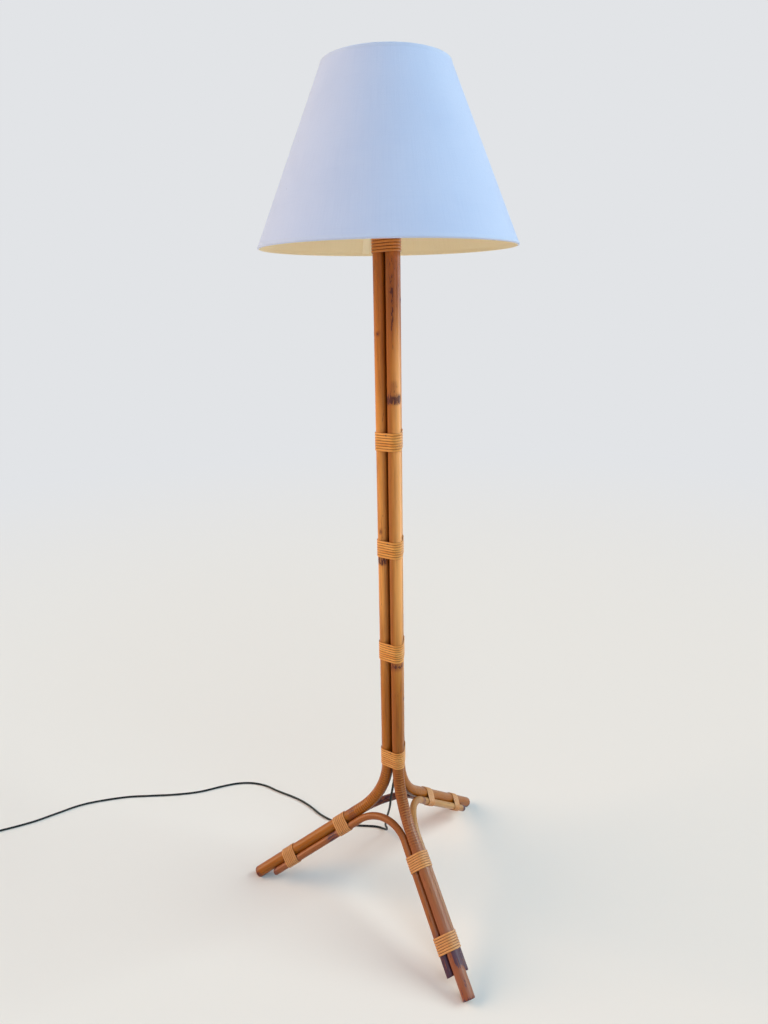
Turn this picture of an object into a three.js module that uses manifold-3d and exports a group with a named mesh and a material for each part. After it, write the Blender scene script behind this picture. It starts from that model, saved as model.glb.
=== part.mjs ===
// A rattan floor lamp: three bound cane poles that spread into legs, bent brace rods between the
// legs, an E27 lampholder on a turned cap, and a lined conical fabric shade that turns on its collar.
// Millimetres, +Z up, the floor at Z = 0, the front leg along -Y.
import * as THREE from "three";
import { mergeVertices } from "three/addons/utils/BufferGeometryUtils.js";
import Module from "manifold-3d";

const wasm = await Module();
wasm.setup();

const radians = THREE.MathUtils.degToRad;

// Clearances shared by the whole lamp
const SEAT_GAP = 0.3;
const CUT_OVERRUN = 2;
const MERGE_TOLERANCE = 1e-4;

// Faces round each kind of piece
const POLE_SIDES = 16;
const BRACE_SIDES = 12;
const CORD_SIDES = 8;
const WIRE_SIDES = 6;
const SHADE_SIDES = 36;
const TURNED_SIDES = 24;
const SMALL_SIDES = 12;
const BEND_STEPS = 10;

// Poles and legs
const LEG_NAMES = ["front", "right", "left"];
const LEG_COUNT = LEG_NAMES.length;
const FRONT_AZIMUTH = radians(-90);
const POLE_DIAMETER = 24.6;
const POLE_TOP_HEIGHT = 1398;
const LEG_BEND_RADIUS = 158;
const LEG_SLOPE = radians(38.2);
const FOOT_CIRCLE_RADIUS = 319;
const FOOT_FILED_DEPTH = 1.2;

// Supply cord
const CORD_DIAMETER = 5;
const CORD_CHANNEL_CLEARANCE = 0.7;
const CORD_EXIT_HEIGHT = 322;
const CORD_STEPS = 80;

// Brace rods
const BRACE_DIAMETER = 15.6;
const BRACE_SIDE_ANGLE = radians(49);
const BRACE_CORNER_RADIUS = 89;
const BRACE_FOOT_MARGIN = 35;

// Cane bindings
const STRAND_THICKNESS = 1.5;
const STRAND_SPACING = 0.5;
const STRAND_CROWN_SHARE = 0.6;
const COLUMN_STRAND_PITCH = 5;
const LEG_STRAND_PITCH = 4.6;
const TOP_BINDING_DROP = 29;
const BEND_BINDING_RISE = 18;
const MIDDLE_BINDING_SHARES = [0.662, 0.457, 0.243];
const COLUMN_BINDING_TURNS = [7, 7, 7, 8, 8];
const LEG_BINDING_SHARES = { inner: 0.217, outer: 0.793 };
const LEG_BINDING_TURNS = 7;
const BINDING_ARC_STEPS = 3;

// Turned cap on the poles, and its screws
const CAP_RADIUS = 28.5;
const CAP_HEIGHT = 12;
const CAP_EDGE_ROUND = 3;
const CAP_EDGE_CORNER = 1;
const CAP_NUT_RECESS_RADIUS = 9;
const CAP_NUT_RECESS_DEPTH = 4;
const SCREW_HEAD_RADIUS = 3.4;
const SCREW_HEAD_HEIGHT = 2.6;
const SCREW_SHANK_RADIUS = 1.75;
const SCREW_LENGTH = 30;
const SCREW_TIP_LENGTH = 4;

// Threaded nipple and its nuts
const NIPPLE_RADIUS = 5;
const NIPPLE_BORE_RADIUS = 3;
const NIPPLE_NUT_RADIUS = 8;
const NIPPLE_NUT_HEIGHT = 3;
const NIPPLE_GRIP = 8;

// E27 lampholder
const HOLDER_RADIUS = 20.5;
const HOLDER_WALL = 2;
const HOLDER_BOSS_RADIUS = 7.5;
const HOLDER_BOSS_HEIGHT = 7;
const HOLDER_DOME_HEIGHT = 9;
const HOLDER_DOME_BREAK = 2.25;
const HOLDER_CAP_HEIGHT = 30;
const SLEEVE_FLANGE_HEIGHT = 6;
const SLEEVE_RADIUS = 19.7;
const CORE_HEIGHT = 10;
const CORE_CONTACT_SINK = 4;
const CONTACT_WIDTH = 5;
const CONTACT_THICKNESS = 0.8;
const CONTACT_HEIGHT = 9;
const CONTACT_REACH = 9;

// Turning switch in the side of the lampholder
const SWITCH_SPINDLE_RADIUS = 2;
const SWITCH_BUSH_RADIUS = 4.5;
const SWITCH_BUSH_LENGTH = 4;
const SWITCH_SPINDLE_SINK = 7;
const SWITCH_SPINDLE_GRIP = 8;
const SWITCH_CLEARANCE = 0.1;
const KNOB_RADIUS = 6.5;
const KNOB_LENGTH = 12;
const KNOB_FLUTES = 8;
const KNOB_FLUTE_DEPTH = 0.7;
const KNOB_CHAMFER = 1;

// Ring nuts that clamp the shade's fitter
const RING_NUT_RADIUS = 27;
const RING_NUT_HEIGHT = 7;
const RING_NUT_GRIP_DEPTH = 1.2;
const RING_NUT_GRIPS = 10;
const GRIP_CORNERS = 4;
const RING_NUT_REST = 8;

// Bulb, A60 with an E27 cap
const BULB_CAP_RADIUS = 13.2;
const BULB_CAP_HEIGHT = 26;
const BULB_TIP_RADIUS = 5.5;
const BULB_TIP_HEIGHT = 3;
const BULB_GLASS_RADIUS = 30;
const BULB_NECK_RADIUS = 13.8;
const BULB_LENGTH = 105;
const BULB_STEPS = 6;
const BULB_NECK_ANGLE = radians(-50);

// Shade
const SHADE_BOTTOM_RADIUS = 225;
const SHADE_TOP_RADIUS = 107;
const SHADE_HEIGHT = 280;
const SHADE_TOP_RISE = 179.5;
const COVER_THICKNESS = 1.3;
const LINING_THICKNESS = 1.3;
const HEM_THICKNESS = 1;
const HEM_HEIGHT = 7;
const FITTER_OUTER_RADIUS = 34;
const FITTER_CLEARANCE = 0.4;
const FITTER_THICKNESS = 1.6;
const ARM_DIAMETER = 3;
const ARM_LEVEL_LENGTH = 7;

// Coil of put-away cord with its tie, and the plug
const COIL_MEAN_RADIUS = 27.5;
const COIL_TURN_SPACING = 5.6;
const COIL_LAYER_TURNS = 2.125;
const COIL_CLIMB_TURNS = 0.5;
const COIL_STEPS_PER_TURN = 22;
const COIL_START = new THREE.Vector2(-925, 584);
const TIE_WIDTH = 8;
const TIE_THICKNESS = 0.8;
const PLUG_LEAD_LENGTH = 44;
const PLUG_LEAD_STEPS = 6;
const PLUG_WIDTH = 35.3;
const PLUG_THICKNESS = 13.7;
const PLUG_LENGTH = 30;
const PLUG_BACK_WIDTH = 15;
const PLUG_EDGE_ROUND = 2.2;
const PLUG_CHEEK_SHARE = 0.45;
const PLUG_RELIEF_LENGTH = 22;
const PLUG_RELIEF_ROOT_RADIUS = 4.6;
const PLUG_RELIEF_END_RADIUS = 3.3;
const PIN_RADIUS = 2;
const PIN_SPACING = 18.6;
const PIN_LENGTH = 19;
const PIN_ROOT_LENGTH = 8;
const PIN_TIP_ROUND = 1;

// Places worked out from the sizes
const POLE_RADIUS = POLE_DIAMETER / 2;
const BRACE_RADIUS = BRACE_DIAMETER / 2;
const CORD_RADIUS = CORD_DIAMETER / 2;
const POLE_CIRCLE_RADIUS = POLE_RADIUS + CORD_RADIUS + CORD_CHANNEL_CLEARANCE;
const LEG_BEND_TURN = radians(90) - LEG_SLOPE;
const LEG_START_RADIUS = POLE_CIRCLE_RADIUS + LEG_BEND_RADIUS * (1 - Math.cos(LEG_BEND_TURN));
const FOOT_AXIS_HEIGHT = POLE_RADIUS * Math.cos(LEG_SLOPE) - FOOT_FILED_DEPTH;
const LEG_RUN = FOOT_CIRCLE_RADIUS - LEG_START_RADIUS;
const LEG_START_HEIGHT = FOOT_AXIS_HEIGHT + LEG_RUN * Math.tan(LEG_SLOPE);
const BEND_START_HEIGHT = LEG_START_HEIGHT + LEG_BEND_RADIUS * Math.sin(LEG_BEND_TURN);
const FOOT_REACH = FOOT_CIRCLE_RADIUS + POLE_RADIUS * Math.sin(LEG_SLOPE);
const COLUMN_AXIS_Y = (FOOT_REACH - SHADE_BOTTOM_RADIUS) / 2;
const BRACE_OFFSET = POLE_RADIUS + BRACE_RADIUS + SEAT_GAP;
const BRACE_END_RADIUS = FOOT_CIRCLE_RADIUS - BRACE_FOOT_MARGIN;
const TOP_BINDING_HEIGHT = POLE_TOP_HEIGHT - TOP_BINDING_DROP;
const BEND_BINDING_HEIGHT = BEND_START_HEIGHT + BEND_BINDING_RISE;
const COLUMN_BINDING_HEIGHTS = [
  TOP_BINDING_HEIGHT,
  ...MIDDLE_BINDING_SHARES.map((share) =>
    THREE.MathUtils.lerp(BEND_BINDING_HEIGHT, TOP_BINDING_HEIGHT, share),
  ),
  BEND_BINDING_HEIGHT,
];

const CAP_BOTTOM_HEIGHT = POLE_TOP_HEIGHT + SEAT_GAP;
const CAP_TOP_HEIGHT = CAP_BOTTOM_HEIGHT + CAP_HEIGHT;
const LOWER_NIPPLE_NUT_HEIGHT = CAP_BOTTOM_HEIGHT + CAP_NUT_RECESS_DEPTH - NIPPLE_NUT_HEIGHT - SEAT_GAP;
const UPPER_NUT_HEIGHT = CAP_TOP_HEIGHT + SEAT_GAP;
const HOLDER_BASE_HEIGHT = UPPER_NUT_HEIGHT + NIPPLE_NUT_HEIGHT + SEAT_GAP;
const HOLDER_CAP_TOP = HOLDER_BASE_HEIGHT + HOLDER_CAP_HEIGHT;
const SLEEVE_BASE_HEIGHT = HOLDER_CAP_TOP + SEAT_GAP;
const SLEEVE_BORE_RADIUS = BULB_CAP_RADIUS + SEAT_GAP;
const CORE_TOP_HEIGHT = HOLDER_CAP_TOP;
const CORE_BASE_HEIGHT = CORE_TOP_HEIGHT - CORE_HEIGHT;
const CONTACT_BASE_HEIGHT = CORE_TOP_HEIGHT - CORE_CONTACT_SINK + SEAT_GAP;
const BULB_BASE_HEIGHT = CONTACT_BASE_HEIGHT + CONTACT_HEIGHT + SEAT_GAP;
const SLEEVE_TOP_HEIGHT = BULB_BASE_HEIGHT + BULB_CAP_HEIGHT - SEAT_GAP;
const SWITCH_HEIGHT = CORE_BASE_HEIGHT + CORE_HEIGHT / 2;
const LOWER_NUT_HEIGHT = SLEEVE_BASE_HEIGHT + RING_NUT_REST;
const FITTER_HEIGHT = LOWER_NUT_HEIGHT + RING_NUT_HEIGHT + SEAT_GAP;
const UPPER_RING_NUT_HEIGHT = FITTER_HEIGHT + FITTER_THICKNESS + SEAT_GAP;
const SHADE_BOTTOM_HEIGHT = FITTER_HEIGHT + SHADE_TOP_RISE - SHADE_HEIGHT;
const SHADE_WIRE_DIAMETER = COVER_THICKNESS + LINING_THICKNESS + SEAT_GAP;
const HEM_WIDTH = SHADE_WIRE_DIAMETER + 2 * (SEAT_GAP + HEM_THICKNESS);
const SHADE_SLANT = Math.hypot(SHADE_BOTTOM_RADIUS - SHADE_TOP_RADIUS, SHADE_HEIGHT);
const COIL_LIFT = TIE_THICKNESS + 2 * SEAT_GAP;
const COIL_AXIS_HEIGHT = CORD_RADIUS + COIL_LIFT;
const COIL_OUTER_RADIUS = COIL_MEAN_RADIUS + (COIL_TURN_SPACING * COIL_LAYER_TURNS) / 2;
const COIL_CENTRE = new THREE.Vector2(COIL_START.x, COIL_START.y - COIL_OUTER_RADIUS);

// The free cord's route from the column's foot to the coil, from the column's axis
const CORD_ROUTE = [
  [0, 0, 321.7], [0, 0, 298], [-1, 5, 272], [-2, 11, 246], [-2, 20, 216], [2, 34, 184],
  [8, 55, 152], [15, 78, 121], [22, 103, 84], [30, 124, 53], [40, 139, 30], [45, 153, 12.5],
  [43, 169, 4], [33, 182, 2.7], [15, 194, 2.6], [-7, 206, 2.6], [-41, 230, 2.6],
  [-66, 258, 2.6], [-82, 288, 2.6], [-93, 321, 2.6], [-106, 351, 2.6], [-122, 378, 2.6],
  [-155, 423, 2.6], [-180, 460, 2.6], [-210, 486, 2.6], [-245, 501, 2.6], [-283, 507, 2.6],
  [-349, 512, 2.6], [-413, 530, 2.6], [-474, 554, 2.6], [-537, 577, 2.6], [-639, 594, 2.6],
  [-699, 587, 2.6], [-758, 579, 2.6], [-834, 580, 2.7], [-880, 583.5, 3.4], [-905, 584, 3.9],
  [-919.7, 584, 3.9],
];

const finish = (color, roughness, metalness = 0) =>
  new THREE.MeshStandardMaterial({ color, roughness, metalness });

const FINISHES = {
  cane: finish(0xb9793f, 0.38),
  braceCane: finish(0xa9672f, 0.38),
  peel: finish(0xc58b4c, 0.42),
  wood: finish(0x8a5a32, 0.5),
  brass: finish(0xb08d4a, 0.35, 0.9),
  steel: finish(0xa8a8a6, 0.35, 0.9),
  bakelite: finish(0x1d1a18, 0.4),
  ceramic: finish(0xe9e4da, 0.45),
  glass: finish(0xf1efe8, 0.3),
  fabric: finish(0xd9d4c8, 0.9),
  lining: finish(0xe8dfcb, 0.8),
  wire: finish(0xd8d5cc, 0.5, 0.6),
  cord: finish(0x141414, 0.55),
};

/** The point at a radius and an azimuth round the column, at a height. */
function radial(radius, azimuth, height) {
  return new THREE.Vector3(radius * Math.cos(azimuth), radius * Math.sin(azimuth), height);
}

function legAzimuth(index) {
  return FRONT_AZIMUTH + (index * 2 * Math.PI) / LEG_COUNT;
}

/** Down along the leg, away from the column. */
function legDirection(azimuth) {
  return radial(Math.cos(LEG_SLOPE), azimuth, -Math.sin(LEG_SLOPE));
}

/** Square to the leg, towards the floor. */
function underLegDirection(azimuth) {
  return radial(-Math.sin(LEG_SLOPE), azimuth, -Math.cos(LEG_SLOPE));
}

/** A point on a leg's straight axis, at a radius from the column. */
function legPoint(azimuth, radius) {
  const drop = (radius - LEG_START_RADIUS) * Math.tan(LEG_SLOPE);
  return radial(radius, azimuth, LEG_START_HEIGHT - drop);
}

/** A centreline whose sweep steps fall on the stations it is given. */
class StationCurve extends THREE.Curve {
  constructor(stations) {
    super();
    this.stations = stations;
  }

  getPoint(t, target = new THREE.Vector3()) {
    const place = t * (this.stations.length - 1);
    const index = Math.min(Math.floor(place), this.stations.length - 2);
    return target.lerpVectors(this.stations[index], this.stations[index + 1], place - index);
  }

  getTangent(t, target = new THREE.Vector3()) {
    const last = this.stations.length - 1;
    const index = Math.round(t * last);
    const here = this.stations[index];
    const before = here.clone().sub(this.stations[Math.max(index - 1, 0)]).normalize();
    const after = this.stations[Math.min(index + 1, last)].clone().sub(here).normalize();
    return target.copy(before).add(after).normalize();
  }

  getUtoTmapping(u) {
    return u;
  }
}

/** A regular outline with its corners on a circle. */
function roundOutline(radius, sides) {
  const corners = [];
  for (let i = 0; i < sides; i++) {
    const angle = (i * 2 * Math.PI) / sides;
    corners.push(new THREE.Vector2(radius * Math.cos(angle), radius * Math.sin(angle)));
  }
  return new THREE.Shape(corners);
}

/** A round rod swept through stations. */
function sweptRod(stations, radius, sides) {
  return new THREE.ExtrudeGeometry(roundOutline(radius, sides), {
    steps: stations.length - 1,
    extrudePath: new StationCurve(stations),
  });
}

/** A profile of [radius, height] pairs revolved round Z. */
function turned(profile, sides = TURNED_SIDES) {
  const outline = profile.map(([radius, height]) => new THREE.Vector2(radius, height));
  const geometry = new THREE.LatheGeometry(outline, sides);
  geometry.rotateX(Math.PI / 2);
  return geometry;
}

/** A profile that closes on itself, for a hollow or ring-shaped piece. */
function turnedRing(profile, sides = TURNED_SIDES) {
  return turned([...profile, profile[0]], sides);
}

/** A plain cylinder along Z between two heights. */
function post(radius, bottom, top, sides = TURNED_SIDES) {
  return turned([[0, bottom], [radius, bottom], [radius, top], [0, top]], sides);
}

/** A closed skin through rings of equal point counts, with a flat cap on each end. */
function skinnedTube(rings) {
  const count = rings[0].length;
  const positions = rings.flat().flatMap((point) => point.toArray());
  const index = [];
  for (let ring = 0; ring < rings.length - 1; ring++) {
    for (let i = 0; i < count; i++) {
      const a = ring * count + i;
      const b = ring * count + ((i + 1) % count);
      index.push(a, b, b + count, a, b + count, a + count);
    }
  }
  const lastRing = (rings.length - 1) * count;
  for (let i = 1; i < count - 1; i++) {
    index.push(0, i + 1, i);
    index.push(lastRing, lastRing + i, lastRing + i + 1);
  }
  const geometry = new THREE.BufferGeometry();
  geometry.setAttribute("position", new THREE.Float32BufferAttribute(positions, 3));
  geometry.setIndex(index);
  return geometry;
}

/** A manifold solid of a closed geometry, its faces turned outwards. */
function solidOf(geometry) {
  const bare = geometry.clone();
  bare.deleteAttribute("normal");
  bare.deleteAttribute("uv");
  const merged = mergeVertices(bare, MERGE_TOLERANCE);
  const build = (triVerts) => {
    const vertProperties = merged.attributes.position.array;
    return new wasm.Manifold(new wasm.Mesh({ numProp: 3, vertProperties, triVerts }));
  };
  const triangles = Uint32Array.from(merged.index.array);
  const solid = build(triangles);
  if (solid.volume() > 0) return solid;
  for (let i = 0; i < triangles.length; i += 3) {
    [triangles[i + 1], triangles[i + 2]] = [triangles[i + 2], triangles[i + 1]];
  }
  return build(triangles);
}

function unionOf(geometries) {
  return geometries.map(solidOf).reduce((whole, piece) => whole.add(piece));
}

/** A mesh of a solid, flat shaded. */
function meshOf(name, solid, material) {
  const made = solid.getMesh();
  const shared = new THREE.BufferGeometry();
  shared.setAttribute("position", new THREE.BufferAttribute(made.vertProperties, made.numProp));
  shared.setIndex(new THREE.BufferAttribute(made.triVerts, 1));
  const geometry = shared.toNonIndexed();
  geometry.computeVertexNormals();
  const mesh = new THREE.Mesh(geometry, material);
  mesh.name = name;
  return mesh;
}

function meshFrom(name, geometry, material) {
  return meshOf(name, solidOf(geometry), material);
}

/** The least distance between points of a wound tube that lie half a turn or more apart. */
function leastSelfGap(rings, ringsPerTurn) {
  const apart = Math.floor(ringsPerTurn / 2);
  let least = Infinity;
  rings.forEach((ring, i) => {
    for (const other of rings.slice(i + apart)) {
      for (const point of ring) {
        for (const far of other) least = Math.min(least, point.distanceTo(far));
      }
    }
  });
  return least;
}

function reportGap(name, rings, ringsPerTurn) {
  console.log(`${name}: least gap to itself ${leastSelfGap(rings, ringsPerTurn).toFixed(2)} mm`);
}

/** A pole's stations: down the column, round the bend and out along the leg. */
function poleStations(azimuth) {
  const stations = [radial(POLE_CIRCLE_RADIUS, azimuth, POLE_TOP_HEIGHT)];
  for (let i = 0; i <= BEND_STEPS; i++) {
    const turn = (LEG_BEND_TURN * i) / BEND_STEPS;
    const radius = POLE_CIRCLE_RADIUS + LEG_BEND_RADIUS * (1 - Math.cos(turn));
    const height = BEND_START_HEIGHT - LEG_BEND_RADIUS * Math.sin(turn);
    stations.push(radial(radius, azimuth, height));
  }
  stations.push(legPoint(azimuth, FOOT_CIRCLE_RADIUS));
  return stations;
}

/** A pole with its foot filed flat on the floor and a pilot hole for the cap's screw. */
function pole(name, azimuth) {
  const cane = solidOf(sweptRod(poleStations(azimuth), POLE_RADIUS, POLE_SIDES));
  const file = new THREE.BoxGeometry(POLE_DIAMETER * 2, POLE_DIAMETER * 2, POLE_DIAMETER);
  const foot = legPoint(azimuth, FOOT_CIRCLE_RADIUS);
  file.translate(foot.x, foot.y, -POLE_RADIUS);
  const pilotRadius = SCREW_SHANK_RADIUS + SEAT_GAP;
  const pilotBottom = POLE_TOP_HEIGHT - SCREW_LENGTH;
  const pilot = post(pilotRadius, pilotBottom, POLE_TOP_HEIGHT + CUT_OVERRUN, SMALL_SIDES);
  const centre = radial(POLE_CIRCLE_RADIUS, azimuth, 0);
  pilot.translate(centre.x, centre.y, 0);
  return meshOf(name, cane.subtract(solidOf(file)).subtract(solidOf(pilot)), FINISHES.cane);
}

/** A brace rod's stations: up under one leg, over at the middle and down under the next. */
function braceStations(azimuth) {
  const sides = [azimuth, azimuth + (2 * Math.PI) / LEG_COUNT].map((leg, i) => {
    const towards = radial(1, leg + Math.PI / 2, 0).multiplyScalar(i === 0 ? 1 : -1);
    const offset = towards.multiplyScalar(BRACE_OFFSET * Math.sin(BRACE_SIDE_ANGLE));
    offset.addScaledVector(underLegDirection(leg), BRACE_OFFSET * Math.cos(BRACE_SIDE_ANGLE));
    return { end: legPoint(leg, BRACE_END_RADIUS).add(offset), inward: legDirection(leg).negate() };
  });
  // Both rods climb alike, so they meet above the bisector of the two legs.
  const [first, second] = sides;
  const middle = first.end.clone().add(second.end).multiplyScalar(1 / 2);
  const run = first.inward.clone().add(second.inward);
  const spread = first.end.distanceTo(middle);
  const climb = spread / Math.sin(first.inward.angleTo(run));
  const corner = first.end.clone().addScaledVector(first.inward, climb);
  const halfAngle = (Math.PI - first.inward.angleTo(second.inward.clone().negate())) / 2;
  const trim = BRACE_CORNER_RADIUS * Math.tan(halfAngle);
  const back = -BRACE_CORNER_RADIUS / Math.cos(halfAngle);
  const centre = corner.clone().addScaledVector(run.normalize(), back);
  const from = corner.clone().addScaledVector(first.inward, -trim).sub(centre);
  const to = corner.clone().addScaledVector(second.inward, -trim).sub(centre);
  const axis = from.clone().cross(to).normalize();
  const stations = [first.end];
  for (let i = 0; i <= BEND_STEPS; i++) {
    stations.push(from.clone().applyAxisAngle(axis, (from.angleTo(to) * i) / BEND_STEPS).add(centre));
  }
  stations.push(second.end);
  return stations;
}

function brace(name, azimuth) {
  return meshFrom(name, sweptRod(braceStations(azimuth), BRACE_RADIUS, BRACE_SIDES), FINISHES.braceCane);
}

/** Points round a hull of circles, each circle turned through in equal steps, in plan. */
function hullLoop(arcs) {
  return arcs.flatMap(({ centre, radius, from, to }) => {
    const step = (to - from) / BINDING_ARC_STEPS;
    const reach = radius / Math.cos(step / 2);
    return Array.from({ length: BINDING_ARC_STEPS + 1 }, (_, i) => {
      const angle = from + step * i;
      const outward = new THREE.Vector2(Math.cos(angle), Math.sin(angle));
      return { place: outward.clone().multiplyScalar(reach).add(centre), outward };
    });
  });
}

/** Rings of a strand wound round a loop, rising one pitch a turn, from the middle of its last side. */
function woundRings(loop, turns, pitch, frame) {
  const section = strandSection(pitch - STRAND_SPACING);
  const seam = loop.at(-1).place.clone().add(loop[0].place).multiplyScalar(1 / 2);
  const start = { place: seam, outward: loop[0].outward };
  const wound = [start];
  for (let turn = 0; turn < turns; turn++) wound.push(...loop);
  wound.push(start);
  const total = turns * pitch;
  const lengths = [0];
  wound.slice(1).forEach((station, i) => {
    lengths.push(lengths[i] + station.place.distanceTo(wound[i].place));
  });
  return wound.map(({ place, outward }, i) => {
    const rise = (total * lengths[i]) / lengths.at(-1) - total / 2;
    return section.map(([across, out]) => {
      const flat = place.clone().addScaledVector(outward, out);
      return frame(flat.x, flat.y, rise + across);
    });
  });
}

/** A strand's section as [across, outward] points: flat inside, its outer edges bevelled. */
function strandSection(width) {
  const half = width / 2;
  const crown = half * STRAND_CROWN_SHARE;
  return [
    [-half, 0],
    [half, 0],
    [crown, STRAND_THICKNESS],
    [-crown, STRAND_THICKNESS],
  ];
}

/** The cane strand wound round the three poles at a height. */
function columnBinding(name, height, turns) {
  const arcs = LEG_NAMES.map((_, i) => {
    const azimuth = legAzimuth(i) - (2 * Math.PI) / LEG_COUNT;
    const centre = new THREE.Vector2(Math.cos(azimuth), Math.sin(azimuth));
    const half = Math.PI / LEG_COUNT;
    return {
      centre: centre.multiplyScalar(POLE_CIRCLE_RADIUS),
      radius: POLE_RADIUS + SEAT_GAP,
      from: azimuth - half,
      to: azimuth + half,
    };
  });
  const loop = hullLoop(arcs);
  const frame = (x, y, rise) => new THREE.Vector3(x, y, height + rise);
  const rings = woundRings(loop, turns, COLUMN_STRAND_PITCH, frame);
  reportGap(name, rings, loop.length);
  return meshFrom(name, skinnedTube(rings), FINISHES.peel);
}

/** The cane strand wound round a leg's pole and the two brace rods under it. */
function legBinding(name, azimuth, radius) {
  const poleReach = POLE_RADIUS + SEAT_GAP;
  const rodReach = BRACE_RADIUS + SEAT_GAP;
  const rodPlace = new THREE.Vector2(
    BRACE_OFFSET * Math.sin(BRACE_SIDE_ANGLE),
    -BRACE_OFFSET * Math.cos(BRACE_SIDE_ANGLE),
  );
  const touch = Math.acos((poleReach - rodReach) / BRACE_OFFSET) + rodPlace.angle() - 2 * Math.PI;
  const below = -Math.PI / 2;
  const arcs = [
    { centre: rodPlace, radius: rodReach, from: below, to: touch },
    { centre: new THREE.Vector2(), radius: poleReach, from: touch, to: Math.PI - touch },
    {
      centre: new THREE.Vector2(-rodPlace.x, rodPlace.y),
      radius: rodReach,
      from: Math.PI - touch,
      to: 2 * Math.PI + below,
    },
  ];
  const loop = hullLoop(arcs);
  const centre = legPoint(azimuth, radius);
  const sideways = radial(1, azimuth + Math.PI / 2, 0);
  const upwards = underLegDirection(azimuth).negate();
  const frame = (x, y, rise) =>
    centre
      .clone()
      .addScaledVector(sideways, x)
      .addScaledVector(upwards, y)
      .addScaledVector(legDirection(azimuth), rise);
  const rings = woundRings(loop, LEG_BINDING_TURNS, LEG_STRAND_PITCH, frame);
  reportGap(name, rings, loop.length);
  return meshFrom(name, skinnedTube(rings), FINISHES.peel);
}

/** The turned wooden cap that closes the three poles and carries the nipple. */
function columnCap() {
  const bore = NIPPLE_RADIUS + SEAT_GAP;
  const recessTop = CAP_BOTTOM_HEIGHT + CAP_NUT_RECESS_DEPTH;
  const body = solidOf(
    turnedRing([
      [CAP_NUT_RECESS_RADIUS, CAP_BOTTOM_HEIGHT],
      [CAP_RADIUS, CAP_BOTTOM_HEIGHT],
      [CAP_RADIUS, CAP_TOP_HEIGHT - CAP_EDGE_ROUND],
      [CAP_RADIUS - CAP_EDGE_CORNER, CAP_TOP_HEIGHT - CAP_EDGE_CORNER],
      [CAP_RADIUS - CAP_EDGE_ROUND, CAP_TOP_HEIGHT],
      [bore, CAP_TOP_HEIGHT],
      [bore, recessTop],
      [CAP_NUT_RECESS_RADIUS, recessTop],
    ]),
  );
  return LEG_NAMES.reduce((cap, _, i) => {
    const centre = radial(POLE_CIRCLE_RADIUS, legAzimuth(i), 0);
    const shank = SCREW_SHANK_RADIUS + SEAT_GAP;
    const head = SCREW_HEAD_RADIUS + SEAT_GAP;
    const seat = CAP_TOP_HEIGHT - SCREW_HEAD_HEIGHT - SEAT_GAP;
    const hole = turned(
      [
        [0, CAP_BOTTOM_HEIGHT - CUT_OVERRUN],
        [shank, CAP_BOTTOM_HEIGHT - CUT_OVERRUN],
        [shank, seat],
        [head, seat],
        [head, CAP_TOP_HEIGHT + CUT_OVERRUN],
        [0, CAP_TOP_HEIGHT + CUT_OVERRUN],
      ],
      SMALL_SIDES,
    );
    hole.translate(centre.x, centre.y, 0);
    return cap.subtract(solidOf(hole));
  }, body);
}

/** A wood screw through the cap into a pole's end. */
function capScrew(name, azimuth) {
  const top = CAP_TOP_HEIGHT;
  const seat = top - SCREW_HEAD_HEIGHT;
  const tip = POLE_TOP_HEIGHT - SCREW_LENGTH + SEAT_GAP;
  const geometry = turned(
    [
      [0, tip],
      [SCREW_SHANK_RADIUS, tip + SCREW_TIP_LENGTH],
      [SCREW_SHANK_RADIUS, seat],
      [SCREW_HEAD_RADIUS, seat],
      [SCREW_HEAD_RADIUS, top],
      [0, top],
    ],
    SMALL_SIDES,
  );
  const centre = radial(POLE_CIRCLE_RADIUS, azimuth, 0);
  geometry.translate(centre.x, centre.y, 0);
  return meshFrom(name, geometry, FINISHES.brass);
}

/** A hexagonal nut round the nipple. */
function nippleNut(name, bottom) {
  const outline = roundOutline(NIPPLE_NUT_RADIUS, WIRE_SIDES);
  outline.holes.push(new THREE.Path(roundOutline(NIPPLE_RADIUS + SEAT_GAP, SMALL_SIDES).getPoints()));
  const geometry = new THREE.ExtrudeGeometry(outline, { depth: NIPPLE_NUT_HEIGHT, bevelEnabled: false });
  geometry.translate(0, 0, bottom);
  return meshFrom(name, geometry, FINISHES.steel);
}

function nippleTube() {
  const bottom = CAP_BOTTOM_HEIGHT;
  const top = HOLDER_BASE_HEIGHT + NIPPLE_GRIP;
  const profile = [
    [NIPPLE_BORE_RADIUS, bottom],
    [NIPPLE_RADIUS, bottom],
    [NIPPLE_RADIUS, top],
    [NIPPLE_BORE_RADIUS, top],
  ];
  return meshFrom("nipple_tube", turnedRing(profile, SMALL_SIDES), FINISHES.steel);
}

/** A hole along +X from inside the lampholder to past its wall, at the switch's height. */
function switchHole(radius, from, to) {
  const hole = post(radius, from, to, SMALL_SIDES);
  hole.rotateY(Math.PI / 2);
  hole.translate(0, 0, SWITCH_HEIGHT);
  return hole;
}

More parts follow.
